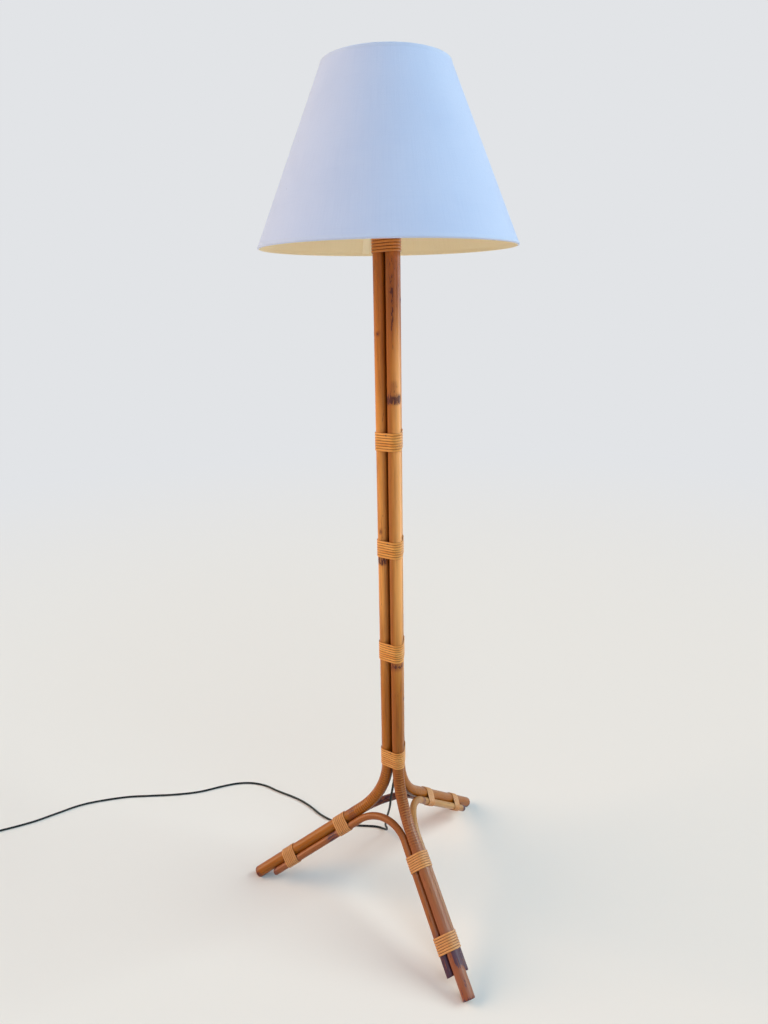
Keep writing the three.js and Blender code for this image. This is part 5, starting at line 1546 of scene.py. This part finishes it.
@dataclass
class Bindings:
    """The wound strands of cane peel, and the small nails that hold them."""

    plan: Plan
    shop: Workshop
    thickness: float = 0.0015
    spacing: float = 0.0005
    column_pitch: float = 0.005
    leg_pitch: float = 0.0046
    top_drop: float = 0.029
    bend_rise: float = 0.018
    middle_shares: tuple[float, ...] = (0.662, 0.457, 0.243)
    column_turns: tuple[int, ...] = (7, 7, 7, 8, 8)
    leg_turns: int = 7
    leg_shares: dict[str, float] = field(default_factory=lambda: {"inner": 0.217, "outer": 0.793})
    arc_step: float = math.radians(10)
    nail_radius: float = 0.0014

    def column_heights(self) -> list[float]:
        """The heights of the column's bindings."""
        top = self.plan.pole_top - self.top_drop
        low = self.plan.bend_start_height + self.bend_rise
        return [top, *(low + (top - low) * share for share in self.middle_shares), low]

    def strand(self, name: str, arcs: Sequence[Arc], turns: int, pitch: float, place: Matrix) -> None:
        """Winds one strand round a loop of arcs, rising a pitch a turn.

        Args:
            name: The CAD node that it stands for.
            arcs: The loop, which starts and ends at the strand's seam.
            turns: How many turns it makes.
            pitch: The rise of each turn.
            place: Where the loop's plane lies.
        """
        loop: list[tuple[Vector, Vector]] = []
        for arc in arcs:
            count = max(round((arc.end - arc.start) / self.arc_step), 2)
            for i in range(count + 1):
                angle = arc.start + (arc.end - arc.start) * i / count
                out = Vector((math.cos(angle), math.sin(angle), 0))
                loop.append((Vector((*arc.centre, 0)) + out * arc.radius, out))
        seam = (loop[-1][0] + loop[0][0]) / 2
        wound = [(seam, loop[0][1])]
        for _ in range(turns):
            wound += loop
        wound.append((seam, loop[-1][1]))
        lengths = [0.0]
        for (one, _), (two, _) in zip(wound, wound[1:]):
            lengths.append(lengths[-1] + (two - one).length)
        total = turns * pitch
        rise_of = [total * length / lengths[-1] - total / 2 for length in lengths]
        turn = place.to_3x3()
        stations = []
        for (point, out), along, rise in zip(wound, lengths, rise_of):
            centre = place @ (point + Vector((0, 0, rise)))
            stations.append(Station(centre, turn @ Vector((0, 0, 1)), turn @ out, along))
        half, thick = (pitch - self.spacing) / 2, self.thickness

        def section(point: Vector) -> Vector:
            """A strand's section: nearly flat inside, domed outside."""
            across = math.copysign(abs(point.x) ** 0.85, point.x) * half
            out = math.copysign(abs(point.y) ** (1.0 if point.y > 0 else 0.4), point.y)
            return Vector((across, thick * (out + 1) / 2, 0))

        mesh = bmesh.new()
        self.shop.swept(mesh, stations, 12, section)
        bmesh.ops.recalc_face_normals(mesh, faces=mesh.faces)
        finishes = [self.shop.palette.peel, self.shop.palette.cut]
        self.shop.piece(f"wound_{name}", mesh, finishes, Body.STAND, "peel", (name,))

    def column(self, number: int, height: float, turns: int) -> None:
        """Winds a binding round the three poles, and nails it.

        Args:
            number: The binding's number, from the top.
            height: The height of its middle.
            turns: Its turns.
        """
        plan = self.plan
        half = math.pi / len(plan.legs)
        arcs = []
        for leg in range(len(plan.legs)):
            azimuth = plan.azimuth(leg) - 2 * half
            centre = plan.radial(plan.pole_circle, azimuth, 0)
            reach = plan.pole_radius + plan.gap
            arcs.append(Arc((centre.x, centre.y), reach, azimuth - half, azimuth + half))
        place = Matrix.Translation(plan.at(Vector((0, 0, height))))
        self.strand(f"column_binding_{number}", arcs, turns, self.column_pitch, place)
        self.nail(f"nail_{number}", height + self.column_pitch * (turns / 2 - 1.05))

    def nail(self, name: str, height: float) -> None:
        """Drives a small dark nail beside the groove between the front and left poles."""
        plan = self.plan
        facing = plan.azimuth(0) - math.pi / len(plan.legs)
        flat = plan.pole_circle / 2 + plan.pole_radius + plan.gap + self.thickness
        beside = plan.radial(0.0042, facing + math.pi / 2, height)
        mesh = bmesh.new()
        size = self.nail_radius
        head = ((0, -1), (0.5, -1), (1, -0.2), (0.8, 0.25), (0, 0.4))
        self.shop.turned(mesh, [(size * out, size * up) for out, up in head], 16)
        turn = plan.radial(1, facing, 0).to_track_quat("Z", "X").to_matrix().to_4x4()
        spot = plan.at(plan.radial(flat - 0.0001, facing, 0) + beside)
        bmesh.ops.transform(mesh, matrix=Matrix.Translation(spot) @ turn, verts=mesh.verts)
        self.shop.piece(name, mesh, [self.shop.palette.bakelite], Body.STAND, "steel")

    def leg(self, leg: int, which: str, share: float) -> None:
        """Winds a binding round a leg's pole and the two brace rods under it.

        Args:
            leg: The leg's place in the plan.
            which: Whether it is the inner or the outer one.
            share: Its place between the bend and the braces' ends.
        """
        plan = self.plan
        azimuth = plan.azimuth(leg)
        radius = plan.leg_start + (plan.brace_end - plan.leg_start) * share
        pole, rod = plan.pole_radius + plan.gap, plan.brace_radius + plan.gap
        offset = Vector((math.sin(plan.brace_angle), -math.cos(plan.brace_angle))) * plan.brace_offset
        touch = math.acos((pole - rod) / plan.brace_offset) + math.atan2(offset.y, offset.x)
        below = -math.pi / 2
        arcs = [
            Arc((offset.x, offset.y), rod, below, touch),
            Arc((0, 0), pole, touch, math.pi - touch),
            Arc((-offset.x, offset.y), rod, math.pi - touch, math.tau + below),
        ]
        sideways = plan.radial(1, azimuth + math.pi / 2, 0)
        centre = plan.at(plan.leg_point(azimuth, radius))
        place = framed(sideways, -plan.under_leg(azimuth), plan.down_leg(azimuth), centre)
        name = f"leg_binding_{plan.legs[leg]}_{which}"
        self.strand(name, arcs, self.leg_turns, self.leg_pitch, place)

    def build(self) -> None:
        """Winds every binding."""
        for number, (height, turns) in enumerate(zip(self.column_heights(), self.column_turns), 1):
            self.column(number, height, turns)
        for leg in range(len(self.plan.legs)):
            for which, share in self.leg_shares.items():
                self.leg(leg, which, share)


@dataclass
class Lampholder:
    """The turned cap on the poles, the lampholder with its switch, and the bulb."""

    plan: Plan
    shop: Workshop
    cap_bottom: float = 1.3983
    cap_radius: float = 0.0285
    cap_height: float = 0.012
    base: float = 1.4139
    radius: float = 0.0205
    wall: float = 0.002
    cap_top: float = 1.4439
    sleeve_radius: float = 0.0197
    sleeve_top: float = 1.4752
    bore: float = 0.0135
    nut_radius: float = 0.027
    nut_height: float = 0.007
    nuts: tuple[float, ...] = (1.4522, 1.4614)
    bulb_base: float = 1.4495
    bulb_cap_height: float = 0.026
    bulb_length: float = 0.105
    bulb_radius: float = 0.030
    switch_height: float = 1.4389
    knob_radius: float = 0.0065
    knob_start: float = 0.0248
    knob_length: float = 0.012
    knob_bore: float = 0.0021
    nipple_bore: float = 0.0053
    boss_radius: float = 0.0095
    bush_bore: float = 0.0023
    bush_length: float = 0.0058
    thread_radius: float = 0.0132

    def made(
        self, name: str, mesh: bmesh.types.BMesh, finish: bpy.types.Material, slot: str, node: str,
        bevel: float = 0.0005, body: Body = Body.STAND,
    ) -> None:
        """Moves a piece that was turned round Z to the column, and registers it."""
        bmesh.ops.translate(mesh, vec=(0, self.plan.axis_y, 0), verts=mesh.verts)
        self.shop.piece(name, mesh, [finish], body, slot, (node,), bevel=bevel)

    def column_cap(self) -> None:
        """Turns the wooden cap with its recess and beads, and its screws."""
        low, high, wide = self.cap_bottom, self.cap_bottom + self.cap_height, self.cap_radius
        mesh = bmesh.new()
        self.shop.turned(
            mesh,
            [
                (0.009, low), (wide - 0.0012, low), (wide, low + 0.0012), (wide, low + 0.0042),
                (wide - 0.0012, low + 0.0048), (wide - 0.0012, low + 0.0056), (wide, low + 0.0062),
                (wide, high - 0.003), (wide - 0.0008, high - 0.0012), (wide - 0.0028, high),
                (self.nipple_bore, high), (self.nipple_bore, low + 0.004), (0.009, low + 0.004),
            ],
            96, closed=True,
        )
        self.made("turned_cap", mesh, self.shop.palette.wood, "turned_wood", "column_cap", 0.0003)
        for leg, name in enumerate(self.plan.legs):
            mesh = bmesh.new()
            self.shop.turned(
                mesh,
                [
                    (0, high - 0.0345), (0.00175, high - 0.03), (0.00175, high - 0.0026),
                    (0.0034, high - 0.0002), (0.0033, high), (0.0018, high + 0.0004), (0, high + 0.0005),
                ],
                24,
            )
            slot = bmesh.ops.create_cube(mesh, size=1)["verts"]
            bmesh.ops.scale(mesh, vec=(0.0056, 0.0008, 0.0003), verts=slot)
            bmesh.ops.translate(mesh, vec=(0, 0, high + 0.00035), verts=slot)
            for face in {face for vert in slot for face in vert.link_faces}:
                face.material_index = 1
            spot = self.plan.at(self.plan.radial(self.plan.pole_circle, self.plan.azimuth(leg), 0))
            bmesh.ops.translate(mesh, vec=spot, verts=mesh.verts)
            finishes = [self.shop.palette.brass, self.shop.palette.bakelite]
            self.shop.piece(f"screw_{name}", mesh, finishes, Body.STAND, "brass", (f"cap_screw_{name}",))

    def on_switch(self, start: float) -> Matrix:
        """Lays a piece that was turned round Z along the switch's axis."""
        return Matrix.Translation((start, 0, self.switch_height)) @ Matrix.Rotation(math.pi / 2, 4, "Y")

    def shell(self) -> None:
        """Turns the lower shell with its boss and ribs, and the bush of the switch."""
        base, wide, top = self.base, self.radius, self.cap_top
        mesh = bmesh.new()
        boss, rise = self.boss_radius, 0.0075
        outer = [(boss - 0.002, base), (boss - 0.002, base + 0.0065), (boss, base + 0.0085)]
        for step in range(9):
            angle = math.pi / 2 * step / 8
            reach = boss + (wide - boss) * math.sin(angle)
            outer.append((reach, base + 0.016 - rise * math.cos(angle)))
        outer += [(wide, top - 0.011), (wide - 0.0006, top - 0.0104), (wide - 0.0006, top - 0.0092),
                  (wide, top - 0.0086), (wide, top)]
        inner = [(wide - self.wall, top), (wide - self.wall, base + 0.017), (0.0125, base + 0.0125),
                 (self.nipple_bore, base + 0.0105), (self.nipple_bore, base)]
        self.shop.turned(mesh, outer + inner, 80, closed=True)
        bore, end = self.bush_bore, self.bush_length
        bush = self.shop.turned(
            mesh,
            [(bore, 0), (0.0045, 0), (0.0045, end - 0.0006), (0.0040, end), (bore, end)],
            32, closed=True,
        )
        bmesh.ops.transform(mesh, matrix=self.on_switch(wide - 0.0018), verts=bush)
        self.made("holder_shell", mesh, self.shop.palette.bakelite, "bakelite", "lampholder_cap", 0.0003)

    def sleeve(self) -> None:
        """Turns the threaded sleeve that takes the bulb and the ring nuts."""
        low, flange = self.cap_top + self.plan.gap, self.cap_top + self.plan.gap + 0.006
        mesh = bmesh.new()
        thread = self.shop.threaded(self.sleeve_radius, 0.0005, flange, self.sleeve_top - 0.0008, 0.0025)
        profile = [
            (self.bore, low), (self.radius, low), (self.radius, flange), *thread,
            (self.sleeve_radius - 0.0008, self.sleeve_top), (self.bore, self.sleeve_top),
        ]
        self.shop.turned(mesh, profile, 72, closed=True)
        self.made("threaded_sleeve", mesh, self.shop.palette.bakelite, "bakelite", "lampholder_sleeve", 0)

    def ring_nuts(self) -> None:
        """Turns the two ring nuts that clamp the shade's fitter."""
        for name, low in zip(("lower", "upper"), self.nuts):
            high, wide = low + self.nut_height, self.nut_radius
            mesh = bmesh.new()
            verts = self.shop.turned(
                mesh,
                [
                    (0.0200, low), (wide - 0.002, low), (wide - 0.0004, low + 0.0006), (wide, low + 0.0018),
                    (wide, high - 0.0018), (wide - 0.0004, high - 0.0006), (wide - 0.002, high),
                    (0.0220, high), (0.0200, high - 0.001),
                ],
                160, closed=True,
            )
            self.shop.gripped(verts, wide, 0.0012, 20)
            bakelite = self.shop.palette.bakelite
            self.made(f"grip_nut_{name}", mesh, bakelite, "bakelite", f"ring_nut_{name}", 0)

    def switch(self) -> None:
        """Turns the fluted knob."""
        wide, long = self.knob_radius, self.knob_length
        mesh = bmesh.new()
        verts = self.shop.turned(
            mesh,
            [
                (self.knob_bore, 0), (wide - 0.0012, 0), (wide, 0.0014), (wide, long * 0.55),
                (wide * 0.95, long * 0.8), (wide * 0.8, long * 0.94), (wide * 0.5, long), (0, long),
                (0, long * 0.66), (self.knob_bore, long * 0.66),
            ],
            80, closed=True,
        )
        self.shop.gripped(verts, wide, 0.0008, 10)
        bmesh.ops.transform(mesh, matrix=self.on_switch(self.knob_start), verts=mesh.verts)
        bakelite = self.shop.palette.bakelite
        self.made("fluted_knob", mesh, bakelite, "bakelite", "switch_knob", 0, Body.SWITCH)

    def bulb(self) -> None:
        """Turns the bulb's screw cap and its glass."""
        low, top = self.bulb_base, self.bulb_base + self.bulb_cap_height
        mesh = bmesh.new()
        wide = self.thread_radius
        thread = self.shop.threaded(wide, 0.0007, low + 0.006, top - 0.004, 0.0036)
        tip = [(0, low), (0.005, low), (0.0055, low + 0.003)]
        self.shop.turned(mesh, [*tip, *thread, (wide, top - 0.002), (wide, top), (0, top)], 64)
        self.made("screw_cap", mesh, self.shop.palette.steel, "steel", "bulb_cap", 0)
        start = top + self.plan.gap
        centre = low + self.bulb_length - self.bulb_radius
        profile = [(0, start), (0.0125, start), (0.0134, start + 0.0008)]
        for step in range(5):
            share = step / 4
            lift = start + 0.0008 + (centre - 0.0225 - start) * share * 0.96
            profile.append((0.0134 + 0.0058 * smooth(0, 1, share) + 0.0004 * share, lift))
        for step in range(17):
            angle = math.radians(-49 + 139 * step / 16)
            reach = 0 if step == 16 else self.bulb_radius * math.cos(angle)
            profile.append((reach, centre + self.bulb_radius * math.sin(angle)))
        mesh = bmesh.new()
        self.shop.turned(mesh, profile, 72)
        self.made("bulb_envelope", mesh, self.shop.palette.glass, "opal_glass", "bulb_glass", 0)

    def build(self) -> None:
        """Makes every piece on the column's top."""
        self.column_cap()
        self.shell()
        self.sleeve()
        self.ring_nuts()
        self.switch()
        self.bulb()
        palette = self.shop.palette
        for node, finish in (
            ("nipple_tube", palette.steel), ("nipple_nut_lower", palette.steel),
            ("nipple_nut_upper", palette.steel), ("lampholder_core", palette.ceramic),
            ("lampholder_contact", palette.brass), ("switch_spindle", palette.steel),
        ):
            self.shop.dress(node, finish)


@dataclass
class FabricShade:
    """The conical shade: linen cover, lining, rolled hems, wires and the welded spider."""

    plan: Plan
    shop: Workshop
    bottom_radius: float = 0.225
    top_radius: float = 0.107
    bottom: float = 1.359
    height: float = 0.280
    cover: float = 0.0013
    lining: float = 0.0013
    hem: float = 0.001
    hem_height: float = 0.007
    hem_drawn_in: float = 0.5
    hem_fold: float = 0.62
    sides: int = 160
    fitter: float = 1.4595
    fitter_thickness: float = 0.0016
    fitter_radius: float = 0.034
    fitter_bore: float = 0.0201
    arm_radius: float = 0.0015
    arm_level: float = 0.007
    seam_azimuth: float = math.radians(79)
    lap: float = 0.014
    lap_step: float = 0.0006

    @property
    def slant(self) -> float:
        """The length of the cone's side."""
        return math.hypot(self.bottom_radius - self.top_radius, self.height)

    @property
    def wire(self) -> float:
        """The wires' diameter."""
        return self.cover + self.lining + self.plan.gap

    @property
    def hem_width(self) -> float:
        """The hem's width across the shade's wall."""
        return self.wire + 2 * (self.plan.gap + self.hem)

    @property
    def wire_inset(self) -> float:
        """How far the wires lie from the shade's edges."""
        return self.hem + self.plan.gap + self.wire / 2

    @property
    def skin_inset(self) -> float:
        """How far the skins end from the shade's edges."""
        return self.wire_inset + self.wire / 2 + self.plan.gap

    def place(self, along: float, depth: float) -> tuple[float, float]:
        """A radius and height, from a distance up the slant and a depth in from the outside."""
        lean = (self.top_radius - self.bottom_radius) / self.slant
        rise = self.height / self.slant
        return (
            self.bottom_radius + lean * along - rise * depth,
            self.bottom + rise * along + lean * depth,
        )

    def skin(
        self, name: str, depth: float, thickness: float, finish: bpy.types.Material, slot: str, node: str
    ) -> bpy.types.Object:
        """Args:
            name: The piece's name.
            depth: How deep its outer side lies.
            thickness: Its thickness.
            finish: Its fabric.
            slot: The slot's name, which for the lining sets where its seam lies.
            node: The CAD node that it stands for.

        Returns:
            The object.
        """
        low, high = self.skin_inset, self.slant - self.skin_inset
        rows = 24
        outer = [self.place(low + (high - low) * i / rows, depth) for i in range(rows + 1)]
        inner = [self.place(low + (high - low) * i / rows, depth + thickness) for i in range(rows, -1, -1)]
        mesh = bmesh.new()
        self.shop.turned(mesh, outer + inner, self.sides, closed=True)
        cloth = mesh.loops.layers.uv.new("cloth")
        middle = (self.bottom_radius + self.top_radius) / 2
        lean = self.height / self.slant
        for face in mesh.faces:
            around = face.calc_center_median()
            base = math.atan2(around.y, around.x)
            for loop in face.loops:
                spot = loop.vert.co
                loop[cloth].uv = (turn_near(spot, base) * middle, (spot.z - self.bottom) / lean)
        self.lapped(mesh, self.seam_azimuth if slot == "lining" else self.seam_azimuth - 0.2)
        bmesh.ops.translate(mesh, vec=(0, self.plan.axis_y, 0), verts=mesh.verts)
        made = self.shop.piece(name, mesh, [finish], Body.SHADE, slot, (node,), sharp=60)
        return made

    def lapped(self, mesh: bmesh.types.BMesh, azimuth: float) -> None:
        """Raises a skin's glued seam, where one edge laps over the other.

        Args:
            mesh: The skin's bmesh, round its own axis.
            azimuth: The direction of the seam's first edge.
        """
        facing = self.plan.radial(1, azimuth, 0)
        sideways = self.plan.radial(1, azimuth + math.pi / 2, 0)
        for offset in (-self.lap, self.lap_step - self.lap, -self.lap_step, 0.0):
            bmesh.ops.bisect_plane(
                mesh, geom=everything(mesh), plane_co=sideways * offset, plane_no=sideways
            )
        layer = mesh.verts.layers.float.new(LAP)
        for vert in mesh.verts:
            place = vert.co.dot(sideways)
            inside = smooth(-self.lap, self.lap_step - self.lap, place)
            inside *= (1 - smooth(-self.lap_step, 0.0, place)) * (vert.co.dot(facing) > 0)
            vert[layer] = inside
            if inside > 0:
                reach = vert.co.xy.length
                vert.co.xy *= 1 - inside * self.lap_step / reach

    def flat_cut(self) -> tuple[tuple[float, float], float]:
        """The flat size and area of the ring sector that one skin is cut from."""
        lean = (self.bottom_radius - self.top_radius) / self.slant
        outer, inner = self.bottom_radius / lean, self.top_radius / lean
        half = math.pi * lean
        width = 2 * outer * (math.sin(half) if half < math.pi / 2 else 1)
        return (width, outer - inner * math.cos(half)), math.pi * (self.bottom_radius + self.top_radius) * (
            self.slant - 2 * self.skin_inset
        )

    def rolled(self, name: str, edge: float, towards: float, node: str) -> bpy.types.Object:
        """Makes a rolled hem: a rounded channel round the wire and the edges of both skins.

        Args:
            name: The piece's name.
            edge: The distance up the slant of the shade's edge.
            towards: 1 for the bottom hem, -1 for the top one.
            node: The CAD node that it stands for.

        Returns:
            The object.
        """
        width, tall, thick = self.hem_width, self.hem_height, self.hem
        corners: list[tuple[float, float]] = []
        bend = width / 2
        skin = thick + self.plan.gap
        for step in range(13):
            angle = math.pi * step / 12
            outer = bend - (bend - skin * self.hem_drawn_in * (angle < math.pi / 2)) * math.cos(angle)
            corners.append((bend * self.hem_fold * (1 - math.sin(angle)), outer))
        corners = [(tall, skin - 0.00006), *corners, (tall, width - skin + 0.00006)]
        inner = [(tall, width - skin + 0.00003)]
        for step in range(9):
            angle = math.pi * step / 8
            span = bend - thick
            along = thick + span * self.hem_fold * (1 - math.sin(angle))
            inner.append((along, bend + span * math.cos(angle)))
        inner.append((tall, skin - 0.00003))
        profile = [self.place(edge + towards * along, depth) for along, depth in corners + inner]
        mesh = bmesh.new()
        self.shop.turned(mesh, profile, self.sides, closed=True)
        cloth = mesh.loops.layers.uv.new("cloth")
        for face in mesh.faces:
            middle = face.calc_center_median()
            base = math.atan2(middle.y, middle.x)
            for loop in face.loops:
                spot = loop.vert.co
                reach = spot.xy.length
                loop[cloth].uv = (turn_near(spot, base) * reach, spot.z + reach)
            face.material_index = int(face.normal.xy.dot(middle.xy) < 0)
        bmesh.ops.translate(mesh, vec=(0, self.plan.axis_y, 0), verts=mesh.verts)
        finishes = [self.shop.palette.hem, self.shop.palette.lining]
        return self.shop.piece(name, mesh, finishes, Body.SHADE, "linen", (node,), sharp=70)

    def arm_stations(self, azimuth: float) -> list[Station]:
        """The places along one arm: in from the top wire, then down to the fitter."""
        along = self.slant - self.wire_inset
        wire_radius, wire_height = self.place(along, self.hem_width / 2)
        inner_radius, inner_height = self.place(along, self.hem_width + self.arm_level)
        rim = self.fitter_radius - self.arm_radius
        rest = self.fitter + self.fitter_thickness / 2
        corners = [
            (wire_radius, wire_height), (inner_radius, inner_height),
            (inner_radius - self.arm_level / 2, inner_height - self.arm_level),
            (rim + self.arm_level / 2, rest + self.arm_level), (rim, rest),
        ]
        points = [Vector(corner) for corner in corners]
        sideways = self.plan.radial(1, azimuth + math.pi / 2, 0)
        stations, length = [], 0.0
        line: list[Vector] = [points[0]]
        for one, two in zip(points, points[1:]):
            line += [one.lerp(two, share) for share in (0.25, 0.5, 0.75, 1)]
        line = [line[0]] + [(a + 2 * b + c) / 4 for a, b, c in zip(line, line[1:], line[2:])] + [line[-1]]
        for i, point in enumerate(line):
            ahead = (line[min(i + 1, len(line) - 1)] - line[max(i - 1, 0)]).normalized()
            length += (point - line[i - 1]).length if i else 0
            out = self.plan.radial(-ahead.y, azimuth, ahead.x)
            centre = self.plan.at(self.plan.radial(point.x, azimuth, point.y))
            stations.append(Station(centre, sideways, out, length))
        return stations

    def spider(self) -> None:
        """Makes the top wire, the three arms and the fitter ring as one welded piece."""
        mesh = bmesh.new()
        radius, height = self.place(self.slant - self.wire_inset, self.hem_width / 2)
        half, corners = self.wire / 2, [math.tau * i / 12 for i in range(12)]
        round_wire = [(radius + half * math.cos(turn), height + half * math.sin(turn)) for turn in corners]
        ring = self.shop.turned(mesh, round_wire, 120, closed=True)
        low, high = self.fitter, self.fitter + self.fitter_thickness
        wide, bore = self.fitter_radius, self.fitter_bore
        ring += self.shop.turned(
            mesh,
            [
                (bore, low), (wide - 0.0005, low), (wide, low + 0.0005), (wide, high - 0.0005),
                (wide - 0.0005, high), (bore, high),
            ],
            96, closed=True,
        )
        bmesh.ops.translate(mesh, vec=(0, self.plan.axis_y, 0), verts=ring)
        for leg in range(len(self.plan.legs)):
            self.shop.swept(
                mesh, self.arm_stations(self.plan.azimuth(leg)), 14, lambda point: point * self.arm_radius
            )
        bmesh.ops.recalc_face_normals(mesh, faces=mesh.faces)
        for face in mesh.faces:
            face.material_index = 0
        self.shop.piece(
            "welded_spider", mesh, [self.shop.palette.enamel], Body.SHADE, "coated_wire", ("shade_spider",)
        )

    def build(self) -> None:
        """Makes the shade: its two fabric skins, its rolled hems and its spider, and dresses the bottom
        wire.
        """
        palette = self.shop.palette
        cover_depth = self.hem + self.plan.gap
        lining_depth = cover_depth + self.cover + self.plan.gap
        flat, area = self.flat_cut()
        cover = self.skin("linen_cover", cover_depth, self.cover, palette.linen, "linen", "shade_cover")
        lining = self.skin(
            "cream_lining", lining_depth, self.lining, palette.lining, "lining", "shade_lining"
        )
        hems = [
            self.rolled("rolled_hem_bottom", 0, 1, "shade_hem_bottom"),
            self.rolled("rolled_hem_top", self.slant, -1, "shade_hem_top"),
        ]
        self.spider()
        self.shop.dress("shade_wire_bottom", palette.enamel)


def main() -> None:
    """Builds the lamp's pieces in order."""
    plan = Plan()
    shop = Workshop(Palette())
    Studio().build()
    for assembly in (
        Flex(plan, shop), CaneStand(plan, shop), Bindings(plan, shop), Lampholder(plan, shop),
        FabricShade(plan, shop),
    ):
        assembly.build()


if __name__ == "__main__":
    main()
